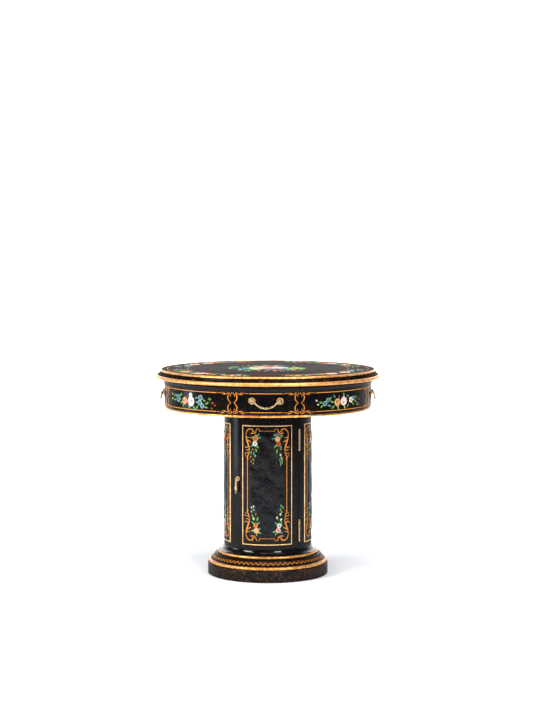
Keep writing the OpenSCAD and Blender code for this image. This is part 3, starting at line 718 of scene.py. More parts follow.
def bail(side, middle):
    sweep_r = (ELBOW_Y ** 2 + BAIL_SAG ** 2) / (2 * BAIL_SAG)
    half = math.asin(ELBOW_Y / sweep_r)
    rise = sweep_r - BAIL_SAG
    swing = [(sweep_r * math.sin(half * i / 60), rise - sweep_r * math.cos(half * i / 60)) for i in range(-57, 58)]
    end = swing[-1]
    elbow = bezier(end, (end[0] + 1.2, end[1] + 2.2), (ELBOW_Y + 0.6, 0), (ELBOW_Y + 4, 0), 10)[1:]
    right = elbow + [(ELBOW_Y + 6, 0), (BALL_Y + 2, 0)]
    flat = [(-y, z) for y, z in reversed(right)] + swing + right
    lengths = [0.0]
    for (y0, z0), (y1, z1) in zip(flat, flat[1:]):
        lengths.append(lengths[-1] + math.hypot(y1 - y0, z1 - z0))
    radii = [1.7 if abs(y) > ELBOW_Y + 3.5 else bail_thickness(length - lengths[-1] / 2)
             for (y, z), length in zip(flat, lengths)]
    lean = math.radians(BAIL_LEAN)
    path = [local(middle, PIVOT_X - z * math.sin(lean), y, HANDLE_Z + z * math.cos(lean)) for y, z in flat]
    points, faces = tube(path, radii)
    made = make_object("bail_handle_" + side, points, faces, BRASS, "bail_" + side)
    weld(made)
    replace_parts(made, "bail_" + side)


PULL_ANGLE = -41.5
PULL_Z = (low("pull_rosette")[2] + high("pull_rosette")[2]) / 2
PULL_REACH = 10.0
PULL_L = PULL_Z - low("pull_drop")[2]


def door_pull():
    out = local(PULL_ANGLE, 1, 0, 0)
    wall = 17.5
    origin = out * COLUMN_R + Vector((0, 0, PULL_Z))
    profile = rosette_profile(9.5, wall + 3.6) + [(3.2, 4.2), (0, 4.3)]
    plate = lathed("door_pull_rosette", origin, out, profile, BRASS, "door")
    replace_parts(plate, "pull_rosette")
    nut = [(STUD_R, 0), (4.4, 0), (4.4, 1.2), (4.0, 1.8)] + arc(0, 1.8, 3.4, 2.6, 0, 90, 8)
    lathed("door_pull_nut", origin - out * wall, -out, nut, BRASS, "door", 24)
    across = local(PULL_ANGLE, 0, 1, 0)
    for hand, s in (("left", -1), ("right", 1)):
        prong = [(0, 1.7), (2.1, 1.7), (2.3, 2.0), (2.3, 3.2), (1.9, 3.6), (0, 3.6)]
        eye = lathed(f"door_pull_fork_eye_{hand}", origin + out * PULL_REACH, across * s, prong, BRASS,
                     "door",
                     24)
        arm = [origin + out * (3 + i) + across * s * 2.65 for i in range(7)]
        points, faces = tube(arm, [1.9, 1.6, 1.4, 1.3, 1.3, 1.35, 1.4], 12)
        make_object(f"door_pull_fork_arm_{hand}", points, faces, BRASS, "door")
    pin = [(0, -4.2), (0.9, -4.1), (1.3, -3.8), (1.15, -3.6), (1.15, 3.6), (1.3, 3.8), (0.9, 4.1), (0, 4.2)]
    lathed("door_pull_pin", origin + out * PULL_REACH, across, pin, BRASS, "door", 20)
    drop = [(0, 0), (1.2, 0.1)] + arc(0, 3.0, 3.3, 3.0, -66, 60, 10) + [(1.8, 6.4), (2.9, 7.2), (2.9, 7.8),
                                                                        (1.9, 8.5)]
    drop += bezier((2.0, 8.9), (5.8, 11.5), (5.7, 20.5), (2.4, 29), 18)
    drop += [(2.1, 29.8), (3.5, 30.9), (3.9, 31.9), (3.5, 32.9), (2.2, 34.1)]
    drop += bezier((2.2, 34.8), (4.4, 38), (3.4, 42), (1.8, PULL_L - 6), 12) + [(1.3, PULL_L - 3),
                                                                                (0, PULL_L - 2.9)]
    hang = origin + out * PULL_REACH - Vector((0, 0, PULL_L))
    body = lathed("door_pull_drop", hang, Vector((0, 0, 1)), drop, BRASS, "door_pull")
    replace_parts(body, "pull_drop")
    eye = [(1.35, -1.5), (2.6, -1.5), (2.9, -1.2), (2.9, 1.2), (2.6, 1.5), (1.35, 1.5), (1.35, -1.5)]
    lathed("door_pull_eye", origin + out * PULL_REACH, across, eye, BRASS, "door_pull", 28)


for side, middle in SIDES.items():
    handle_posts(side, middle)
    bail(side, middle)
door_pull()


# ---------- CAD pieces that stay, in better materials ----------

KEPT = {
    "drum_top_board": DARK_WOOD, "drum_bottom_board": DARK_WOOD, "drawer_guides": DARK_WOOD,
    "drawer_runners": PALE_WOOD, "column_floor_board": DARK_WOOD, "column_shelf": DARK_WOOD,
    "shelf_pegs": BRASS, "door_stop": DARK_WOOD, "door_catch": STEEL, "hinge_frame_leaves": BRASS,
    "hinge_pins": BRASS, "hinge_door_leaves": BRASS, "door_strike": STEEL, "base_board": DARK_WOOD,
    "floor_glides": FELT, "top_screws": STEEL, "column_bolts": STEEL, "base_screws": STEEL,
}
for side in SIDES:
    KEPT["drawer_box_" + side] = PALE_WOOD
    KEPT["drawer_bottom_" + side] = PALE_WOOD
for node, material in KEPT.items():
    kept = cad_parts[node]
    kept.data.materials.clear()
    kept.data.materials.append(material)


# ---------- painted decoration: raised strokes of oil paint ----------

GROUND = -0.03
LAYER = 0.16
HALF_SECTION = ((-1.0, None), (-0.8, 0.6), (0.0, 1.0), (0.8, 0.6), (1.0, None))


class Canvas:
    """Brush strokes in millimetres on a flat sheet, which wrap(u, v, lift) lays on the object."""

    def __init__(self, wrap, seed=1):
        self.wrap = wrap
        self.points, self.faces, self.tints = [], [], []
        self.dice = random.Random(seed)
        self.order = 0

    def stroke(self, path, widths, start, end, layer=0, edge=None, half=None, dome=0.07):
        """A domed strip along path, from start to end colour; edge tints both sides, half the right side."""
        self.order += 1
        lift = 0.03 + layer * LAYER + (self.order % 40) * 0.002
        glow = self.dice.uniform(0.86, 1.1)
        first = len(self.points)
        last = len(path) - 1
        for i, (x, y) in enumerate(path):
            x0, y0 = path[max(i - 1, 0)]
            x1, y1 = path[min(i + 1, last)]
            length = math.hypot(x1 - x0, y1 - y0) or 1.0
            nx, ny = (y1 - y0) / length, (x0 - x1) / length
            middle = mix(TINT[start], TINT[end], i / last)
            for c, rise in HALF_SECTION:
                height = GROUND if rise is None or i in (0, last) else lift + dome * rise
                self.points.append(self.wrap(x + nx * widths[i] * c, y + ny * widths[i] * c, height))
                colour = middle
                if half and c > 0:
                    colour = mix(colour, TINT[half], 0.9)
                if edge and c:
                    colour = mix(colour, TINT[edge], 0.75)
                self.tints.extend([channel * glow for channel in colour[:3]] + [1.0])
        for i in range(last):
            for k in range(4):
                a = first + i * 5 + k
                self.faces.append((a, a + 1, a + 6, a + 5))

    def finish(self, name, body):
        made = make_object(name, self.points, self.faces, PAINT, body)
        tint = made.data.color_attributes.new("tint", "FLOAT_COLOR", "POINT")
        tint.data.foreach_set("color", self.tints)
        return made


def petal_shape(s):
    return max(0.02, math.sin(math.pi * s ** 1.35)) ** 0.6


def leaf_shape(s):
    return max(0.0, math.sin(math.pi * s ** 0.8)) ** 1.1 + 0.02


def dab_shape(s):
    return 2 * math.sqrt(max(0.0, s * (1 - s))) + 0.02


def bent(x, y, angle, length, bend=0.0, steps=7):
    """A path from (x, y) that starts in a direction in degrees and turns by bend degrees."""
    path = [(x, y)]
    for i in range(steps):
        a = math.radians(angle + bend * (i + 0.5) / steps)
        x += math.cos(a) * length / steps
        y += math.sin(a) * length / steps
        path.append((x, y))
    return path


def round_path(x, y, r, a0, a1, steps=7):
    angles = [math.radians(a0 + (a1 - a0) * i / steps) for i in range(steps + 1)]
    return [(x + r * math.cos(a), y + r * math.sin(a)) for a in angles]


def swept(shape, width, count):
    return [shape(i / (count - 1)) * width / 2 for i in range(count)]


def petal(c, x, y, angle, length, width, start, end, layer=2, bend=0.0, **more):
    path = bent(x, y, angle, length, bend)
    c.stroke(path, swept(petal_shape, width, len(path)), start, end, layer, **more)


def dab(c, x, y, angle, length, width, start, end, layer=2, **more):
    a = math.radians(angle)
    path = bent(x - math.cos(a) * length / 2, y - math.sin(a) * length / 2, angle, length)
    c.stroke(path, swept(dab_shape, width, len(path)), start, end, layer, **more)


def crescent(c, x, y, r, middle, span, width, start, end, layer, **more):
    path = round_path(x, y, r, middle - span / 2, middle + span / 2)
    c.stroke(path, swept(dab_shape, width, len(path)), start, end, layer, **more)


def along(x, y, angle, distance):
    a = math.radians(angle)
    return x + math.cos(a) * distance, y + math.sin(a) * distance


def stem(c, x0, y0, x1, y1, width=0.9, tint="green", layer=0, bow=0.12):
    """A thin curved stalk that tapers towards its second end."""
    mx, my = (x0 + x1) / 2 - (y1 - y0) * bow, (y0 + y1) / 2 + (x1 - x0) * bow
    path = bezier((x0, y0), (mx, my), (mx, my), (x1, y1), 8)
    c.stroke(path, [width * (0.6 - 0.3 * i / 8) for i in range(9)], tint, tint, layer, dome=0.04)


# ---------- flowers; size is a radius, angle the way that the flower faces or grows ----------

def rose(c, x, y, size, angle, pale, mid, deep, core, spark, layer=2):
    """A full-blown rose: outer petals, rings of crescent petals that close in on its heart, and the heart."""
    for i in range(9):
        a = angle + 40 * i + c.dice.uniform(-7, 7)
        px, py = along(x, y, a, size * 0.62)
        far = math.cos(math.radians(a - angle)) < -0.2
        dab(c, px, py, a + 90, size * 0.95, size * 0.7, deep if far else mid, mid, layer,
            edge=deep if far else pale)
    dab(c, x, y, angle, size * 1.55, size * 1.55, mid, pale, layer + 0.3)
    heart_x, heart_y = along(x, y, angle, size * 0.36)
    rings = ((0.84, 9, 0.36), (0.66, 8, 0.34), (0.5, 7, 0.3), (0.35, 6, 0.25), (0.22, 5, 0.2))
    for ring, (radius, count, thick) in enumerate(rings):
        t = ring / (len(rings) - 1)
        cx, cy = x + (heart_x - x) * t, y + (heart_y - y) * t
        for i in range(count):
            a = angle + 360 / count * (i + 0.5 * (ring % 2)) + c.dice.uniform(-8, 8)
            outside = math.cos(math.radians(a - angle))
            shade = deep if ring == 0 and outside < 0 or ring > 2 else mid
            crescent(c, cx, cy, size * radius * (1 - 0.14 * outside), a, 400 / count, size * thick, shade,
                     mid,
                     layer + 0.5 + 0.35 * ring, half=pale if ring < 4 else mid)
    for i in range(5):
        a = angle + 72 * i
        px, py = along(heart_x, heart_y, a, size * 0.05)
        petal(c, px, py, a, size * 0.3, size * 0.24, core, spark if i % 2 else core, layer + 2.4)


def pink_rose(c, x, y, size, angle):
    rose(c, x, y, size, angle, "pink_pale", "pink", "pink_deep", "red", "orange")


def blush_rose(c, x, y, size, angle):
    rose(c, x, y, size, angle, "white", "pink_pale", "pink_deep", "red", "pink_deep")


def tan_rose(c, x, y, size, angle):
    rose(c, x, y, size, angle, "peach", "tan", "orange_deep", "brown", "orange_deep")


def cream_rose(c, x, y, size, angle):
    rose(c, x, y, size, angle, "cream", "orange_pale", "orange", "red", "orange_deep")


def orange_rose(c, x, y, size, angle):
    rose(c, x, y, size, angle, "yellow", "orange_pale", "orange", "orange_deep", "brown_dark")


def simple_flower(c, x, y, size, angle, petals, pale, mid, deep, eye, spark, layer=2):
    """An open flower of rounded, pale-edged petals round a dotted eye."""
    for i in range(petals):
        a = angle + 360 / petals * i + c.dice.uniform(-5, 5)
        px, py = along(x, y, a, size * 0.1)
        petal(c, px, py, a, size * 0.92, size * 5.2 / petals, mid, pale, layer + 0.1 * (i % 2))
        petal(c, px, py, a, size * 0.76, size * 3.7 / petals, deep, mid, layer + 0.5 + 0.1 * (i % 2))
        vein_x, vein_y = along(x, y, a, size * 0.3)
        petal(c, vein_x, vein_y, a, size * 0.42, size * 0.12, pale, pale, layer + 0.9)
    dab(c, x, y, angle, size * 0.42, size * 0.4, eye, eye, layer + 1.0)
    for i in range(5):
        px, py = along(x, y, angle + 36 + 72 * i, size * 0.17)
        dab(c, px, py, 0, size * 0.13, size * 0.13, spark, spark, layer + 1.5)


def blue_flower(c, x, y, size, angle):
    simple_flower(c, x, y, size, angle, 5, "blue_pale", "blue", "blue_dark", "blue_dark", "yellow")


def teal_bloom(c, x, y, size, angle):
    simple_flower(c, x, y, size, angle, 5, "teal_pale", "blue", "blue_dark", "blue_dark", "yellow")
    for i in range(5):
        px, py = along(x, y, angle + 72 * i, size * 0.66)
        crescent(c, px, py, size * 0.2, angle + 72 * i, 150, size * 0.1, "blue_pale", "blue", 3)


def white_flower(c, x, y, size, angle):
    simple_flower(c, x, y, size, angle, 5, "white", "cream", "grey", "blue", "yellow")


def mauve_flower(c, x, y, size, angle):
    for i in range(3):
        px, py = along(x, y, angle + 120 * i + 40, size * 0.52)
        simple_flower(c, px, py, size * 0.58, angle + 20 * i, 5, "plum_pale", "mauve", "plum", "plum_dark",
                      "cream")


def orange_flower(c, x, y, size, angle):
    simple_flower(c, x, y, size, angle, 5, "orange_pale", "orange", "orange_deep", "brown", "yellow")


def pink_flower(c, x, y, size, angle):
    simple_flower(c, x, y, size, angle, 6, "pink_pale", "pink", "orange_deep", "pink_deep", "yellow")


def red_flower(c, x, y, size, angle):
    simple_flower(c, x, y, size, angle, 6, "orange", "red", "orange_deep", "plum_dark", "yellow")


def daisy(c, x, y, size, angle):
    """A double orange daisy with a dark, speckled eye."""
    for ring, (reach, count) in enumerate(((1.0, 13), (0.7, 10), (0.46, 7))):
        for i in range(count):
            a = angle + 360 / count * i + 9 * ring
            px, py = along(x, y, a, size * 0.12)
            petal(c, px, py, a, size * (reach - 0.1), size * 0.44 * reach, "orange_deep", "orange",
                  2 + 0.45 * ring, half="orange_pale")
    dab(c, x, y, 0, size * 0.4, size * 0.4, "brown_dark", "orange_deep", 3.6)
    for i in range(6):
        px, py = along(x, y, 60 * i, size * 0.24)
        dab(c, px, py, 0, size * 0.1, size * 0.1, "yellow", "yellow", 4.0)


def auricula(c, x, y, size, angle):
    """A dark plum auricula: pale edges, a velvety ring and a pale eye."""
    for i in range(6):
        px, py = along(x, y, angle + 60 * i, size * 0.52)
        dab(c, px, py, angle + 60 * i + 90, size * 1.0, size * 0.86, "plum_pale", "mauve", 2.0)
        dab(c, px, py, angle + 60 * i + 90, size * 0.88, size * 0.72, "plum", "plum_dark", 2.5)
    dab(c, x, y, 0, size * 1.05, size * 1.05, "plum_dark", "plum_dark", 3.0)
    for i in range(9):
        crescent(c, x, y, size * 0.42, angle + 40 * i, 30, size * 0.1, "mauve", "plum_pale", 3.5)
    dab(c, x, y, 0, size * 0.42, size * 0.4, "plum_pale", "mauve", 3.8)
    dab(c, x, y, 40, size * 0.2, size * 0.16, "plum_dark", "plum", 4.3)


def carnation(c, x, y, size, angle):
    """A white pom-pom of many small cupped petals with grey hollows and peach lights."""
    dab(c, x, y, angle, size * 1.9, size * 1.9, "grey", "brown_pale", 1.6)
    for ring, (radius, count, width) in enumerate(((0.84, 13, 0.44), (0.6, 10, 0.42), (0.36, 7, 0.38),
                                                   (0.14, 4, 0.32))):
        for i in range(count):
            a = angle + 360 / count * (i + 0.5 * (ring % 2)) + c.dice.uniform(-6, 6)
            px, py = along(x, y, a, size * radius)
            tip = "peach" if c.dice.random() < 0.25 else "white"
            dab(c, px, py, a + 90, size * width, size * width * 0.9, "grey", tip, 2 + 0.5 * ring, edge="grey")
            px, py = along(x, y, a, size * (radius + 0.06))
            dab(c, px, py, a + 90, size * width * 0.72, size * width * 0.5, tip, "white", 2.5 + 0.5 * ring)
    dab(c, x, y, 30, size * 0.2, size * 0.16, "orange", "orange_pale", 4.8)


def peony(c, x, y, size, angle):
    """A big orange peony: broad outer petals, inner petals and a black heart with red stamens."""
    for i in range(8):
        a = angle + 45 * i + c.dice.uniform(-6, 6)
        px, py = along(x, y, a, size * 0.28)
        petal(c, px, py, a, size * 0.86, size * 0.72, "orange_deep", "orange_pale", 2 + 0.12 * (i % 3),
              edge="orange")
        px, py = along(x, y, a + 6, size * 0.72)
        dab(c, px, py, a, size * 0.44, size * 0.3, "orange", "yellow", 2.7)
    heart_x, heart_y = along(x, y, 250, size * 0.3)
    for ring, (radius, count) in enumerate(((0.56, 8), (0.42, 7), (0.28, 6))):
        for i in range(count):
            a = angle + 360 / count * i + 20 * ring
            crescent(c, heart_x, heart_y, size * radius, a, 420 / count, size * 0.24, "orange_deep", "brown",
                     3 + 0.4 * ring, half="orange_pale" if ring != 1 else "peach")
    dab(c, heart_x, heart_y, 0, size * 0.42, size * 0.34, "brown_dark", "brown_dark", 4.4)
    dab(c, heart_x, heart_y, 0, size * 0.26, size * 0.2, "black", "black", 4.8)
    for i in range(9):
        px, py = along(heart_x, heart_y, 40 * i, size * 0.26)
        petal(c, px, py, 40 * i, size * 0.14, size * 0.08, "red", "orange", 5.0)


def tulip(c, x, y, size, angle):
    """A half-open flower seen from the side: a red-edged cup of peach petals."""
    for turn, start, end in ((-38, "red", "orange"), (38, "red", "orange"), (-18, "orange", "peach"),
                             (18, "orange", "cream"), (0, "peach", "cream")):
        bx, by = along(x, y, angle, -size * 0.8)
        petal(c, bx, by, angle + turn, size * 1.7, size * 0.95, start, end, 2 + 0.3 * (38 - abs(turn)) / 12,
              bend=-turn * 0.8, edge="pink")
    bx, by = along(x, y, angle, size * 0.55)
    dab(c, bx, by, angle + 90, size * 0.55, size * 0.3, "brown_dark", "red", 3.6)


# ---------- leaves, buds and berries ----------

def leaf(c, x, y, size, angle, dark, mid, pale, wide=0.42, layer=0.6):
    """A leaf centred on (x, y): one half in shade, one in light, with a midrib and side veins."""
    bend = c.dice.uniform(-26, 26)
    bx, by = along(x, y, angle, -size / 2)
    path = bent(bx, by, angle - bend / 2, size, bend, 9)
    widths = swept(leaf_shape, size * wide, len(path))
    c.stroke(path, widths, dark, mid, layer, half=pale, dome=0.1)
    c.stroke(path[:-1], [size * 0.022 * (1.2 - i / 9) for i in range(9)], pale, pale, layer + 0.9, dome=0.04)
    if size < 16:
        return
    for i in range(2, 8):
        x0, y0 = path[i]
        x1, y1 = path[i + 1]
        forward = math.degrees(math.atan2(y1 - y0, x1 - x0))
        for turn in (-42, 42):
            petal(c, x0, y0, forward + turn, widths[i] * 1.15, size * 0.026, pale, mid, layer + 0.8)


def leaf_kind(dark, mid, pale, wide=0.42):
    def made(c, x, y, size, angle):
        leaf(c, x, y, size, angle, dark, mid, pale, wide)
    return made


def bud(c, x, y, size, angle, start, end, sepal="green", layer=1.2):
    """A closed bud in two green sepals."""
    bx, by = along(x, y, angle, -size * 0.9)
    petal(c, bx, by, angle, size * 1.9, size * 1.1, start, end, layer, edge=end)
    for turn in (-24, 24):
        petal(c, bx, by, angle + turn, size * 1.3, size * 0.42, sepal, "green_pale", layer + 0.8,
              bend=-turn * 1.3)


def bud_kind(start, end, sepal="green"):
    def made(c, x, y, size, angle):
        bud(c, x, y, size, angle, start, end, sepal)
    return made


def berry_kind(deep, pale):
    def made(c, x, y, size, angle):
        for i in range(3):
            px, py = along(x, y, angle + 120 * i, size * 0.55)
            dab(c, px, py, angle, size * 0.85, size * 0.8, deep, pale, 1.3)
            dab(c, px - size * 0.1, py + size * 0.1, 45, size * 0.26, size * 0.2, "cream", pale, 2.0)
    return made


def sprig_kind(dark, mid, pale, pairs=3):
    """A stalk with pairs of leaflets and one at its end; size is its whole length."""
    def made(c, x, y, size, angle):
        bx, by = along(x, y, angle, -size / 2)
        ex, ey = along(x, y, angle, size * 0.4)
        stem(c, bx, by, ex, ey, 0.8, dark, bow=0.05)
        for i in range(pairs):
            px, py = along(bx, by, angle, size * (0.25 + 0.6 * i / pairs))
            for turn in (-55, 55):
                lx, ly = along(px, py, angle + turn, size * 0.16)
                leaf(c, lx, ly, size * 0.3, angle + turn, dark, mid, pale, 0.4)
        leaf(c, ex, ey, size * 0.3, angle, dark, mid, pale, 0.4)
    return made


KINDS = {
    "pink_rose": pink_rose, "blush_rose": blush_rose, "tan_rose": tan_rose, "cream_rose": cream_rose,
    "orange_rose": orange_rose, "blue_flower": blue_flower, "teal_bloom": teal_bloom,
    "white_flower": white_flower, "mauve_flower": mauve_flower, "orange_flower": orange_flower,
    "pink_flower": pink_flower, "red_flower": red_flower, "daisy": daisy, "auricula": auricula,
    "carnation": carnation, "peony": peony, "tulip": tulip,
    "leaf_green": leaf_kind("green_dark", "green", "green_pale"),
    "leaf_pale": leaf_kind("green", "green_pale", "green_pale", 0.6),
    "leaf_teal": leaf_kind("teal_dark", "teal", "teal_pale"),
    "leaf_dark": leaf_kind("teal_dark", "green_dark", "green"),
    "leaf_brown": leaf_kind("brown_dark", "brown", "brown_pale", 0.5),
    "leaf_orange": leaf_kind("brown", "orange_deep", "orange_pale"),
    "bud_cream": bud_kind("peach", "cream"), "bud_red": bud_kind("orange", "red"),
    "bud_pink": bud_kind("pink_deep", "pink"), "bud_blue": bud_kind("blue", "blue_pale", "teal"),
    "bud_brown": bud_kind("brown", "brown_pale"), "bud_white": bud_kind("grey", "white"),
    "berry_orange": berry_kind("orange_deep", "orange"), "berry_red": berry_kind("red", "orange"),
    "sprig_green": sprig_kind("green_dark", "green", "green_pale"),
    "sprig_teal": sprig_kind("teal_dark", "teal", "teal_pale"),
}
UNDER = ("leaf", "sprig")
STALKED = ("bud", "berry", "sprig")


def paint_spray(c, plants, root=None):
    """Paints the plants, each (kind, x, y, size, angle); where no angle is given, it grows away from the
    nearest flower, or from root where that is given."""
    flowers = [(p[1], p[2]) for p in plants if not p[0].startswith(UNDER + STALKED)]
    for rank in (0, 1):
        for plant in plants:
            kind, x, y, size = plant[:4]
            if kind.startswith(UNDER) == bool(rank):
                continue
            nearest = min(flowers, key=lambda f: math.hypot(f[0] - x, f[1] - y) or 1e9) if flowers else root
            if root:
                nearest = root
            angle = math.degrees(math.atan2(y - nearest[1], x - nearest[0])) if len(plant) < 5 else plant[4]
            if kind.startswith(STALKED):
                sx, sy = along(x, y, angle, -size * 0.6)
                stem(c, nearest[0], nearest[1], sx, sy, 0.8, "green_dark", bow=c.dice.uniform(-0.2, 0.2))
            KINDS[kind](c, x, y, size, angle)


# ---------- what is painted where; places and sizes in millimetres on each canvas ----------

def bouquet_wrap(x, y, lift):
    """The table top, turned so that the bouquet stands as it does on the table."""
    turn = math.radians(25)
    return ((x * math.cos(turn) - y * math.sin(turn)) * MM, (x * math.sin(turn) + y * math.cos(turn)) * MM,
            (TOP_Z + lift) * MM)


SPRAY_R = 337.0


def ring_wrap(middle):
    """The border of the top: u runs counter-clockwise from the angle middle, v outwards."""
    def wrap(u, v, lift):
        a = math.radians(middle) + u / SPRAY_R
        return ((SPRAY_R + v) * math.cos(a) * MM, (SPRAY_R + v) * math.sin(a) * MM, (TOP_Z + lift) * MM)
    return wrap


def wall_wrap(radius, middle):
    """An upright round wall: u runs to the right of the direction middle, v is the height."""
    def wrap(u, v, lift):
        return spot(middle + math.degrees(u / radius), radius + lift, v)
    return wrap


SPRAY_A = [
    ("blue_flower", 133, -13, 11), ("blue_flower", 153, -11.5, 11), ("blue_flower", 175, -15, 10),
    ("blue_flower", 198, 7, 10), ("bud_blue", 178, 9, 5), ("bud_blue", 190, 20, 5), ("bud_blue", 177, 25, 5),
    ("leaf_teal", 101, 17, 25), ("leaf_teal", 113.5, 9, 25), ("leaf_teal", 109, -6, 25),
    ("leaf_teal", 100, -18, 25), ("cream_rose", 77.6, -2, 20, -10), ("leaf_brown", 57, 22, 32),
    ("leaf_brown", 45, 3, 35), ("leaf_brown", 32, 10, 28), ("pink_rose", -1.8, -3, 21.5, -50),
    ("leaf_green", -17, 21, 28), ("leaf_green", -34, 19, 25), ("daisy", -36.5, -7, 16, 0),
    ("leaf_green", -57, 5, 28), ("leaf_green", -65, -14, 30), ("leaf_green", -50, -18, 28),
    ("leaf_green", 22, -17, 25), ("leaf_teal", 30, -9, 22), ("mauve_flower", -90, -4, 14, 20),
    ("mauve_flower", -106, -5, 14, 200), ("leaf_green", -79, 13, 25), ("leaf_pale", -120, 11, 20),
    ("sprig_teal", -131, 15, 32), ("leaf_teal", -124, -9, 28), ("orange_flower", -154, 9, 11, 0),
    ("orange_flower", -138, -12, 11, 0), ("orange_flower", -164, -15, 10, 0),
    ("orange_flower", -183, -19, 9, 0),
    ("leaf_green", -150, -8, 20), ("leaf_green", -174, -3, 18), ("berry_orange", -195, 13, 4.5),
    ("berry_orange", -208, 5, 4.5), ("berry_orange", -195, 0, 4), ("berry_orange", -201, -15, 4.5),
]
SPRAY_B = [
    ("sprig_green", 190, 15, 34), ("leaf_green", 198, -2, 20), ("bud_cream", 183, -12, 6),
    ("white_flower", 160, -15, 11, 0), ("tulip", 141, 7, 15, 20), ("orange_flower", 126, 19, 10, 0),
    ("bud_brown", 132, -18, 6), ("leaf_teal", 107, 8, 28), ("leaf_teal", 103.5, -12, 28),
    ("leaf_teal", 89, -14, 25), ("leaf_green", 72, 12, 30), ("leaf_green", 66, -13, 28),
    ("leaf_orange", 50.6, 18, 22), ("leaf_green", 52, -2, 25), ("daisy", 33.5, -8.5, 16, 0),
    ("mauve_flower", 2.4, -20, 11, 30), ("pink_rose", 0, 2, 22, 90), ("leaf_green", 17, 23, 25),
    ("leaf_green", -17, 22, 25), ("leaf_green", -28, 14, 22), ("leaf_teal", -29, -12, 28),
    ("leaf_teal", -45, -17, 25), ("leaf_teal", -45, 10, 25), ("leaf_teal", -62, -13, 22),
    ("leaf_teal", -61, 9, 22), ("orange_rose", -82, 10, 15, 200), ("mauve_flower", -94, -6, 14, 60),
    ("leaf_green", -102, -21, 25), ("leaf_green", -114, -10, 25), ("leaf_green", -112, 6, 22),
    ("leaf_green", -101, 22, 22), ("leaf_green", -117, 21, 20), ("bud_pink", -129, -20, 9),
    ("bud_pink", -148, -15, 9), ("leaf_orange", -137, 1, 22), ("bud_pink", -160, 9, 5),
    ("bud_pink", -149, 22, 5), ("bud_pink", -163, 22, 5), ("leaf_teal", -167, -17, 25),
    ("leaf_green", -178, -6, 25), ("leaf_green", -183, 13, 22), ("leaf_green", -196, 4, 20),
    ("bud_cream", -199, -11, 5),
]
BOUQUET = [
    ("leaf_green", -29, 88, 34, 140), ("leaf_teal", -10, 82, 30, 70), ("leaf_green", -18, 72, 30, 60),
    ("leaf_teal", 9, 100, 40, 120), ("leaf_pale", -2, 104, 38, 135), ("leaf_teal", 37, 108, 32, 88),
    ("leaf_teal", 88, 80, 36, 62), ("leaf_teal", 92, 60, 40, 8), ("leaf_teal", 66, 88, 26, 20),
    ("sprig_green", -93, 92, 62, 96), ("sprig_teal", 47, 134, 40, 95), ("sprig_teal", 84, 108, 38, 30),
    ("bud_blue", -27, 119, 6, 60), ("bud_blue", -34, 108, 5, 150), ("bud_blue", -20, 128, 5, 70),
    ("bud_cream", -58, 105, 7, 250), ("bud_blue", -119, 71, 10, 170), ("bud_blue", -128, 53, 11, 185),
    ("leaf_green", -69, 49, 34, 95), ("bud_red", -66, 46, 5, 90), ("leaf_dark", -124, 22, 34, 190),
    ("leaf_dark", -99, -11, 38, 215), ("leaf_dark", -90, -30, 34, 230), ("leaf_dark", -78, 40, 24, 150),
    ("sprig_green", -112, -66, 56, 235), ("bud_blue", -122, -24, 13, 260), ("bud_blue", -131, -34, 9, 245),
    ("sprig_green", 121, -14, 34, 70), ("sprig_green", 122, -40, 38, 300), ("bud_pink", 123, 40, 10, 10),
    ("bud_red", 89, 9, 9, 300), ("teal_bloom", -89, 16, 25, 20),
    ("leaf_pale", -64, 2, 50, 130), ("leaf_pale", -62, -38, 54, 195), ("leaf_green", -34, -14, 34, 320),
    ("leaf_green", -38, -8, 30, 300), ("leaf_pale", 98, -22, 50, 25), ("leaf_pale", 62, -60, 46, 268),
    ("leaf_pale", 100, -64, 50, 322), ("leaf_green", 84, -42, 30, 300), ("leaf_teal", -36, -78, 34, 255),
    ("leaf_brown", -16, -84, 30, 300), ("leaf_brown", 39, -78, 26, 300), ("leaf_brown", 24, -92, 24, 290),
    ("leaf_brown", 22, -24, 38, 330), ("leaf_teal", 47, -90, 32, 345), ("leaf_green", 4, -106, 18, 20),
    ("leaf_teal", 30, -116, 28, 262), ("berry_red", -71, -71, 6, 150), ("berry_red", -79, -94, 6, 200),
    ("berry_red", -83, -112, 6, 230), ("berry_red", -66, -120, 5, 260), ("berry_red", -56, -107, 5, 280),
    ("orange_flower", -23, -119, 9, 0), ("orange_flower", 59, -108, 10, 0), ("orange_flower", 48, -125, 8, 0),
    ("bud_white", -6, -131, 4, 268), ("bud_white", 5, -134, 4, 272), ("bud_white", 84, -110, 4, 30),
    ("bud_white", 84, -122, 4, 350), ("bud_white", 69, -130, 4, 300),
    ("peony", 34, 66, 37, 20), ("pink_rose", -22, 30, 40, 155), ("pink_rose", 12, 6, 15, 290),
    ("carnation", 43, -3, 36, 0), ("auricula", -21, -31, 13, 0), ("auricula", -8, -17, 10, 0),
    ("auricula", -25, -62, 14, 0), ("auricula", 10, -79, 10, 0), ("auricula", 28, -54, 14, 0),
    ("auricula", 4, -67, 14, 0), ("auricula", -2, -42, 16, 0),
]
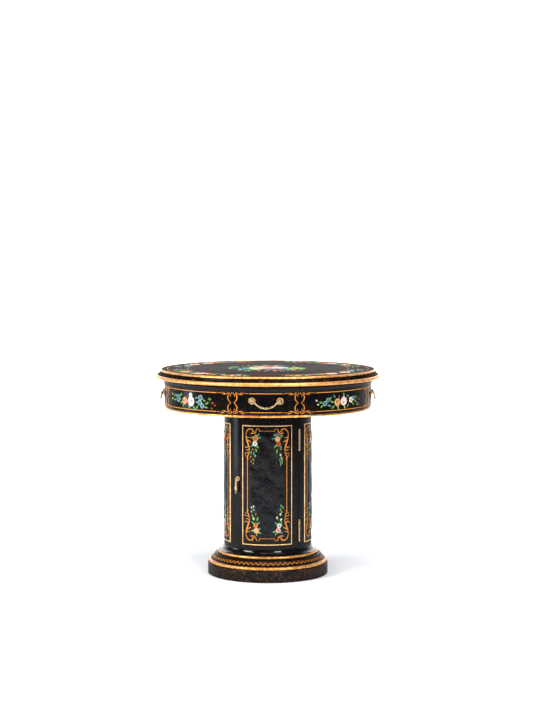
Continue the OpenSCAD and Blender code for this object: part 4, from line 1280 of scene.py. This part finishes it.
APRON_LEFT = [
    ("bud_cream", -118, 17, 6), ("bud_cream", -118, 0, 6), ("leaf_green", -104, 12, 14),
    ("leaf_green", -100, -4, 16),
    ("leaf_teal", -92, 15, 16), ("teal_bloom", -74, 5, 14, 0), ("leaf_green", -56, 20, 18),
    ("leaf_green", -52, -9, 18),
    ("tan_rose", -33, -1, 13, 180), ("leaf_green", -40, -18, 18), ("leaf_brown", -18, 15, 18),
    ("white_flower", 0, 21, 9, 0), ("blush_rose", 3, -1, 17, 20), ("leaf_green", -6, -22, 18),
    ("leaf_green", 20, -23, 18), ("leaf_green", 34, -22, 18), ("leaf_teal", 30, 12, 18),
    ("leaf_teal", 33, -3, 16),
    ("blue_flower", 50, 15, 10, 0), ("blue_flower", 47, -3, 10, 0), ("blue_flower", 58, -14, 9, 0),
    ("leaf_green", 68, 6, 16), ("leaf_green", 80, -3, 18), ("leaf_green", 76, -18, 16),
    ("sprig_green", 90, 12, 20),
    ("berry_orange", 104, -1.5, 4.5), ("berry_orange", 101, -21, 4), ("berry_orange", 114, -10, 3.5),
]
DOOR_LINE_U = 75
DOOR_LINES_V = (154, 552)
DOOR_SPRAYS = {
    (-43, 524): [
        ("orange_flower", 0, 0, 10.5, 0), ("leaf_green", -14, 2, 16), ("leaf_green", 11, 13, 16),
        ("leaf_teal", 15, 4, 14),
        ("leaf_green", 1, 13, 14), ("white_flower", -2, -19, 9.5, 0), ("leaf_teal", -13.5, -28, 16),
        ("leaf_green", 8.5, -30, 16), ("bud_red", -10, -40, 5), ("leaf_green", 4.5, -44, 16),
        ("leaf_green", -16, -54, 14), ("leaf_teal", -4.5, -56, 14), ("bud_red", 0, -64, 5.4),
        ("bud_red", -19, -68, 5.1), ("bud_red", -8, -78, 5.1), ("bud_red", -16, -85, 4.4),
        ("bud_red", -8, -92, 4.4)],
    (39.4, 523): [
        ("cream_rose", 0, 0, 9.5, 60), ("leaf_green", -10, 13, 16), ("leaf_green", 13.5, 10, 16),
        ("leaf_teal", -16, 1, 16), ("red_flower", 3, -18, 8.5, 0), ("leaf_green", -8, -28, 16),
        ("leaf_teal", 11.5, -28, 16), ("bud_red", 11.5, -38, 5), ("leaf_green", -3, -46, 16),
        ("bud_cream", 10, -58, 5.6), ("bud_pink", 13.5, -69, 5.6), ("leaf_green", 18, -78, 13),
        ("leaf_teal", 9, -80, 13), ("leaf_green", 17, -88, 12), ("leaf_green", 11, -94, 12)],
    (-39.5, 183.5): [
        ("cream_rose", 0, 0, 10, 220), ("daisy", -3, 19, 9.5, 0), ("leaf_green", -15, -2, 16),
        ("leaf_green", -14, 28, 16), ("leaf_teal", 8, 28, 16), ("leaf_green", 13, -6, 16),
        ("leaf_green", 2, -15, 14),
        ("leaf_teal", 12, 8, 14), ("bud_cream", -10, 42, 7.0), ("leaf_green", 4.5, 44, 16),
        ("leaf_green", -16, 54, 14),
        ("bud_red", -2, 62, 4.5), ("bud_white", -10, 88, 4.9), ("bud_white", -18, 84, 4.9),
        ("bud_blue", -10, 76, 4.9), ("bud_blue", -18, 69, 4.9)],
    (41.3, 184): [
        ("pink_flower", 0, 0, 9.5, 0), ("leaf_green", -15, -4, 16), ("leaf_green", -8, -13, 14),
        ("leaf_teal", 12, -7, 16), ("white_flower", 4, 18, 9, 0), ("leaf_teal", -8, 27, 16),
        ("leaf_green", 11, 27, 16), ("bud_white", -4, 46, 7.0), ("bud_white", 10, 38, 7.0),
        ("bud_cream", 8, 58, 6.3),
        ("bud_red", 13, 68, 5.4), ("leaf_green", 7, 78, 13), ("leaf_teal", 10, 92, 13),
        ("leaf_green", 17, 86, 12)],
}


def gold_line(c, path, width=1.3, tint="gold", layer=0):
    c.stroke(path, [width / 2] * len(path), tint, tint, layer, dome=0.05)


def top_art():
    c = Canvas(bouquet_wrap, 3)
    paint_spray(c, BOUQUET, root=(5, -8))
    c.finish("painted_bouquet", "table")
    for middle, plants in ((135, SPRAY_A), (315, SPRAY_A), (45, SPRAY_B), (225, SPRAY_B)):
        c = Canvas(ring_wrap(middle), 10 + middle)
        spine = [(u, 5 * math.sin(u / 38)) for u in range(-190, 192, 10)]
        c.stroke(spine, [0.5] * len(spine), "green_dark", "green_dark", 0, dome=0.04)
        paint_spray(c, plants)
        c.finish(f"painted_top_spray_{middle}", "table")
    c = Canvas(ring_wrap(0), 7)
    for r in (300, 375):
        ring = [(math.radians(2 * i) * SPRAY_R, r - SPRAY_R) for i in range(181)]
        gold_line(c, ring, 2.2, "bronze")
        gold_line(c, ring, 1.0, "gold", 0.4)
    c.finish("painted_top_rings", "table")


def swell(c, at, points, width, tint="gold", layer=0.2):
    """One tapering scroll stroke through a curve's four control points, placed by at(p, q)."""
    path = [at(p, q) for p, q in bezier(*points, 12)]
    widths = [width / 2 * (0.3 + 0.7 * math.sin(math.pi * i / 12)) for i in range(13)]
    c.stroke(path, widths, tint, tint, layer, edge="bronze", dome=0.07)


# each stroke: its four control points and its width; p runs from the seam, q up from the drum's middle
DRUM_SCROLLS = [
    (((5, 31), (19, 33), (22, 9), (3.6, 0)), 2.8), (((5, 31), (1, 30), (0, 37), (6, 38)), 2.0),
    (((6, 38), (13, 38.5), (16, 31), (24, 31.5)), 2.6), (((24, 31.5), (31, 32), (32, 38), (40, 36)), 2.2),
    (((22, 31.5), (30, 27), (36, 30), (42, 33.4)), 1.8), (((40, 36), (47, 34), (52, 33.5), (62, 33.5)), 1.6),
    (((9, 28), (5, 26), (5, 22), (9, 22)), 1.5), (((34, 36), (36, 40), (41, 40), (44, 37.5)), 1.3),
]
DRUM_LINE = 33.5
DRUM_MIDDLE_Z = DRUM_LOW + 52.5
SCROLL_REACH = 62


def drum_frame(c, half):
    """The gold frame on a stretch of the drum: straight lines with scrolled corners and seam brackets."""
    for s in (-1, 1):
        for t in (-1, 1):
            def at(p, q, s=s, t=t):
                return s * (half - p), DRUM_MIDDLE_Z + t * q
            for points, width in DRUM_SCROLLS:
                swell(c, at, points, width * 1.25)
    span = half - SCROLL_REACH
    for t in (-1, 1):
        line = [(span * i / 12, DRUM_MIDDLE_Z + t * DRUM_LINE) for i in range(-12, 13)]
        gold_line(c, line, 2.2, "gold")


APRON_RIGHT = [
    ("bud_cream", -116, 8, 5.5), ("bud_cream", -110, -6, 5), ("leaf_green", -100, 0, 16),
    ("leaf_green", -96, -14, 16),
    ("blue_flower", -82, -4, 9, 0), ("blue_flower", -70, 8, 8, 0), ("leaf_green", -60, 14, 18),
    ("leaf_teal", -62, -12, 18), ("leaf_green", -50, 2, 20), ("leaf_green", -46, -20, 18),
    ("leaf_teal", -42, 20, 18),
    ("tan_rose", -26, -2, 14, 160), ("leaf_green", -22, -21, 18), ("leaf_brown", -20, 18, 16),
    ("blush_rose", 6, 0, 16, 240), ("leaf_green", 6, 23, 18), ("leaf_green", 12, -22, 18),
    ("leaf_green", 28, -18, 16),
    ("leaf_teal", 28, 16, 18), ("white_flower", 46, 2, 11, 0), ("blue_flower", 62, 8, 8, 0),
    ("leaf_green", 60, -12, 16),
    ("leaf_green", 76, 12, 16), ("leaf_green", 74, -4, 16), ("sprig_green", 86, -14, 20),
    ("berry_orange", 92, 6, 4),
    ("berry_orange", 104, 0, 3.6), ("berry_orange", 101, -16, 3.6),
]
APRON_PLANTS = {"front_left": APRON_LEFT, "front_right": APRON_RIGHT, "back_right": APRON_LEFT,
                "back_left": APRON_RIGHT}


def raised(plants, u0, v0):
    """The same plants, moved by (u0, v0)."""
    return [(kind, u + u0, v + v0) + tuple(rest) for kind, u, v, *rest in plants]


def drum_art():
    for corner, middle in CORNERS.items():
        c = Canvas(wall_wrap(DRUM_R, middle), 20 + middle)
        drum_frame(c, math.radians(45 - HALF_DRAWER - HALF_SEAM) * DRUM_R)
        paint_spray(c, raised(APRON_PLANTS[corner], 0, DRUM_MIDDLE_Z - 3))
        c.finish("painted_apron_" + corner, "table")
    for side, middle in SIDES.items():
        c = Canvas(wall_wrap(DRUM_R, middle), 30 + middle)
        drum_frame(c, math.radians(HALF_DRAWER - HALF_SEAM) * DRUM_R)
        c.finish("painted_drawer_" + side, "drawer_" + side)


# p runs from the panel's side line towards its middle, q from its end line along the panel
PANEL_SCROLLS = [
    (((0, 107), (-4, 97), (8, 86), (8.2, 70)), 3.4), (((8.2, 72), (8.5, 54), (-5.5, 40), (-6, 15)), 5.2),
    (((-6, 19), (-7.5, -7), (18, -16), (21, 3)), 4.0), (((21, 2), (22, 9.5), (15, 11.5), (12.5, 7)), 3.0),
    (((-5, 18), (-3, 26), (4, 27), (9.5, 24)), 2.6), (((-4, 30), (1, 38), (9, 37), (16.5, 42.5)), 3.4),
    (((4, 46), (5, 62), (-7, 69), (-11.5, 55.5)), 3.2), (((8, 64), (6, 73), (-2, 73.5), (-7.5, 70.5)), 2.8),
    (((6, 80), (-2, 85), (-12, 80), (-9, 90)), 2.2), (((-9, 90), (-7.5, 94), (-4, 94), (-1.5, 97)), 1.8),
    (((12.5, 8), (21, 13), (30, 8), (36, 1)), 3.0), (((29, 6), (24, 2), (20, -5), (18.5, -11)), 2.2),
    (((31, 5), (34, -2), (36, -9), (42, -8)), 2.4), (((41, -8), (49, -8), (48, 0), (46.5, 3.5)), 2.0),
    (((-1, 96), (2.5, 100), (2.2, 104), (0, 110)), 3.0),
]
BAR_HALF = 29
SIDE_LINE_REACH = 106


def panel_frame_art(c):
    v_low, v_high = DOOR_LINES_V
    for s in (-1, 1):
        for line_v, t in ((v_low, 1), (v_high, -1)):
            def at(p, q, s=s, line_v=line_v, t=t):
                return s * (DOOR_LINE_U - p), line_v + t * q
            for points, width in PANEL_SCROLLS:
                swell(c, at, points, width * 1.15)
        span = (v_high - v_low) / 2 - SIDE_LINE_REACH
        middle_v = (v_low + v_high) / 2
        gold_line(c, [(s * DOOR_LINE_U, middle_v + span * i / 12) for i in range(-12, 13)], 2.2, "gold")
    for line_v in DOOR_LINES_V:
        gold_line(c, [(BAR_HALF * i / 6, line_v) for i in range(-6, 7)], 2.0, "gold_deep")


FIELD_HALF_U = DOOR_LINE_U - 7
FIELD_V = (DOOR_LINES_V[0] + 7, DOOR_LINES_V[1] - 7)
DENT_PITCH = 10.0


def field_lift(u, v, middle):
    """How far the panel's leather-like field stands out: a slanting net of dents under long folds."""
    from_edge = min(FIELD_HALF_U - abs(u), v - FIELD_V[0], FIELD_V[1] - v)
    if from_edge <= 0:
        return 0.0
    drift = noise.noise(Vector((u / 34, v / 34, middle / 50))) * 9
    a = 0.64 * u + 0.77 * v + drift
    b = 0.7 * u - 0.71 * v + drift * 0.7
    pillow = abs(math.sin(math.pi * a / DENT_PITCH)) * abs(math.sin(math.pi * b / DENT_PITCH))
    rough = 0.8 + 0.5 * noise.noise(Vector((u / 12, v / 12, 3.0)))
    fold = abs(math.sin(math.pi * (a + 1.5 * drift) / 74)) + 0.6 * abs(math.sin(math.pi * (b + drift) / 96))
    return 0.02 + min(1.0, from_edge / 12) * (0.7 * pillow ** 0.6 * rough + 1.3 * fold)


def quilted_field(name, middle, body):
    """The panel's field inside its gold line."""
    step = 1.7
    columns, rows = round(2 * FIELD_HALF_U / step), round((FIELD_V[1] - FIELD_V[0]) / step)
    points, faces = [], []
    for j in range(rows + 1):
        for i in range(columns + 1):
            u = -FIELD_HALF_U + 2 * FIELD_HALF_U * i / columns
            v = FIELD_V[0] + (FIELD_V[1] - FIELD_V[0]) * j / rows
            lift = field_lift(u, v, middle) or GROUND
            points.append(spot(middle + math.degrees(u / COLUMN_R), COLUMN_R + lift, v))
    for j in range(rows):
        for i in range(columns):
            a = j * (columns + 1) + i
            faces.append((a, a + 1, a + columns + 2, a + columns + 1))
    make_object(name, points, faces, BLACK_PANEL, body)


def panel_wrap(middle):
    """The column's wall with the panel's field on it."""
    def wrap(u, v, lift):
        return spot(middle + math.degrees(u / COLUMN_R), COLUMN_R + field_lift(u, v, middle) + lift, v)
    return wrap


def panel_art(side, middle, body):
    quilted_field("quilted_field_" + side, middle, body)
    c = Canvas(panel_wrap(middle), 40 + middle)
    panel_frame_art(c)
    for (u0, v0), plants in DOOR_SPRAYS.items():
        up = 1 if v0 < 300 else -1
        spine = bezier((u0, v0), (u0 + 6, v0 + up * 35), (u0 - 8, v0 + up * 55), (u0 - 2, v0 + up * 92), 10)
        c.stroke(spine, [0.5] * 11, "green", "green_dark", 0.3, dome=0.04)
        paint_spray(c, raised(plants, u0, v0))
    c.finish("painted_panel_" + side, body)


def ogee_wrap(u, v, lift):
    """The ogee of the foot: u runs round it at OGEE_BAND_R, v is the height."""
    curve = ogee_curve()
    z = min(max(v, curve[0][1]), curve[-1][1])
    k = next(i for i in range(len(curve) - 1) if curve[i + 1][1] >= z - 1e-9)
    (r0, z0), (r1, z1) = curve[k], curve[k + 1]
    t = (z - z0) / ((z1 - z0) or 1)
    length = math.hypot(r1 - r0, z1 - z0)
    nr, nz = (z1 - z0) / length, (r0 - r1) / length
    return spot(math.degrees(u / OGEE_BAND_R), r0 + (r1 - r0) * t + nr * lift, z + nz * lift)


OGEE_BAND_R = 205.0
WAVES = 70
BAND_Z = 67.5


def base_band():
    """A gold wave round the ogee, a finer wave through it, a dot in each second eye, and scallops below."""
    c = Canvas(ogee_wrap, 50)
    around = 2 * math.pi * OGEE_BAND_R
    pitch = around / WAVES
    per_wave = 10
    for phase in (0, math.pi):
        for part in range(7):
            first, last = part * WAVES * per_wave // 7, (part + 1) * WAVES * per_wave // 7
            path = []
            for i in range(first, last + 1):
                u = pitch * i / per_wave
                path.append((u, BAND_Z + 3.6 * math.sin(2 * math.pi * u / pitch + phase)))
            gold_line(c, path, 1.5 if phase else 0.7, "gold" if phase else "bronze_deep", 0.2 if phase else 0)
    for i in range(WAVES):
        dab(c, pitch * (i + 0.25), BAND_Z, 0, 1.8, 1.6, "gold", "bronze", 0.3)
        crescent(c, pitch * (i + 0.5), BAND_Z - 4.6, 3.6, 90, 110, 0.8, "bronze", "gold_deep", 0.1)
    gold_line(c, [(around * i / 180, BAND_Z + 5.6) for i in range(181)], 0.7, "bronze_deep")
    c.finish("painted_base_band", "table")


top_art()
drum_art()
for side, middle in SIDES.items():
    panel_art(side, middle, "door" if side == "front" else "table")
base_band()


# ---------- floor, light and camera ----------

def studio():
    """A pale floor that curves up into a wall, far enough back for a camera to stand behind the table."""
    floor_material, tree, shader = new_material("studio_floor")
    place = add(tree, "ShaderNodeTexCoord").outputs["Object"]
    mottle = add(tree, "ShaderNodeTexNoise", {"Vector": place, "Scale": 1.5})
    tree.links.new(ramp(tree, mottle.outputs["Fac"], [(0.0, srgb(250, 250, 250)),
                                                      (1.0, srgb(252, 252, 252))]),
                   shader.inputs["Base Color"])
    shader.inputs["Roughness"].default_value = 0.8
    shader.inputs["Specular IOR Level"].default_value = 0.1
    reach, back, bend, height = 14.0, 9.5, 2.4, 11.0
    sweep = [(-reach, 0.0)] + [(back - bend + bend * math.sin(t), bend - bend * math.cos(t))
                               for t in [math.radians(9 * i) for i in range(11)]] + [(back, height)]
    points = [(x, y, z) for y, z in sweep for x in (-reach, reach)]
    faces = [(2 * i, 2 * i + 1, 2 * i + 3, 2 * i + 2) for i in range(len(sweep) - 1)]
    mesh = bpy.data.meshes.new("studio_sweep")
    mesh.from_pydata(points, [], faces)
    mesh.materials.append(floor_material)
    mesh.polygons.foreach_set("use_smooth", [True] * len(mesh.polygons))
    sweep_object = bpy.data.objects.new("studio_sweep", mesh)
    bpy.context.scene.collection.objects.link(sweep_object)


def softbox(name, place, aim, size, power, colour=(1.0, 1.0, 1.0)):
    data = bpy.data.lights.new(name, "AREA")
    data.shape = "RECTANGLE"
    data.size, data.size_y = size
    data.energy = power
    data.color = colour
    light = bpy.data.objects.new(name, data)
    light.location = place
    light.rotation_euler = (Vector(aim) - Vector(place)).to_track_quat("-Z", "Y").to_euler()
    light.visible_camera = False
    bpy.context.scene.collection.objects.link(light)


def lights():
    softbox("left_softbox", (-2.75, -2.0, 1.9), (0, 0, 0.5), (1.4, 2.0), 150)
    softbox("left_strip", (-3.0, 0.05, 0.52), (0, 0, 0.52), (0.9, 1.0), 15, (0.7, 0.85, 1.0))
    softbox("right_softbox", (1.6, -3.0, 1.8), (0, 0, 0.5), (1.0, 1.8), 90)
    softbox("overhead_softbox", (0.2, -0.6, 3.4), (0, 0, 0.4), (2.4, 2.0), 120)
    softbox("backdrop_softbox", (0, 3.4, 4.8), (0, 9.5, 1.6), (9.0, 1.6), 1300)
    world = bpy.data.worlds.new("studio")
    world.use_nodes = True
    world.node_tree.nodes["Background"].inputs["Color"].default_value = (0.62, 0.8, 1, 1)
    world.node_tree.nodes["Background"].inputs["Strength"].default_value = 0.2
    bpy.context.scene.world = world
    bpy.context.scene.view_settings.view_transform = "Standard"


CAMERA_REACH = 6.918
CAMERA_HEIGHT = 1.327
CAMERA_AZIMUTH = 1
CAMERA_AIM = Vector((-0.005, 0, 0.8175))
LENS_MM = 94.0
SENSOR_MM = 36


def camera():
    """Looks from the front, a little above the top. Other views move this camera, so it has no shift."""
    azimuth = math.radians(CAMERA_AZIMUTH)
    data = bpy.data.cameras.new("camera")
    data.lens = LENS_MM
    data.sensor_width = SENSOR_MM
    place = Vector((math.sin(azimuth) * CAMERA_REACH, -math.cos(azimuth) * CAMERA_REACH, CAMERA_HEIGHT))
    view = bpy.data.objects.new("camera", data)
    view.location = place
    view.rotation_euler = (CAMERA_AIM - place).to_track_quat("-Z", "Y").to_euler()
    bpy.context.scene.collection.objects.link(view)
    bpy.context.scene.camera = view


studio()
lights()
camera()
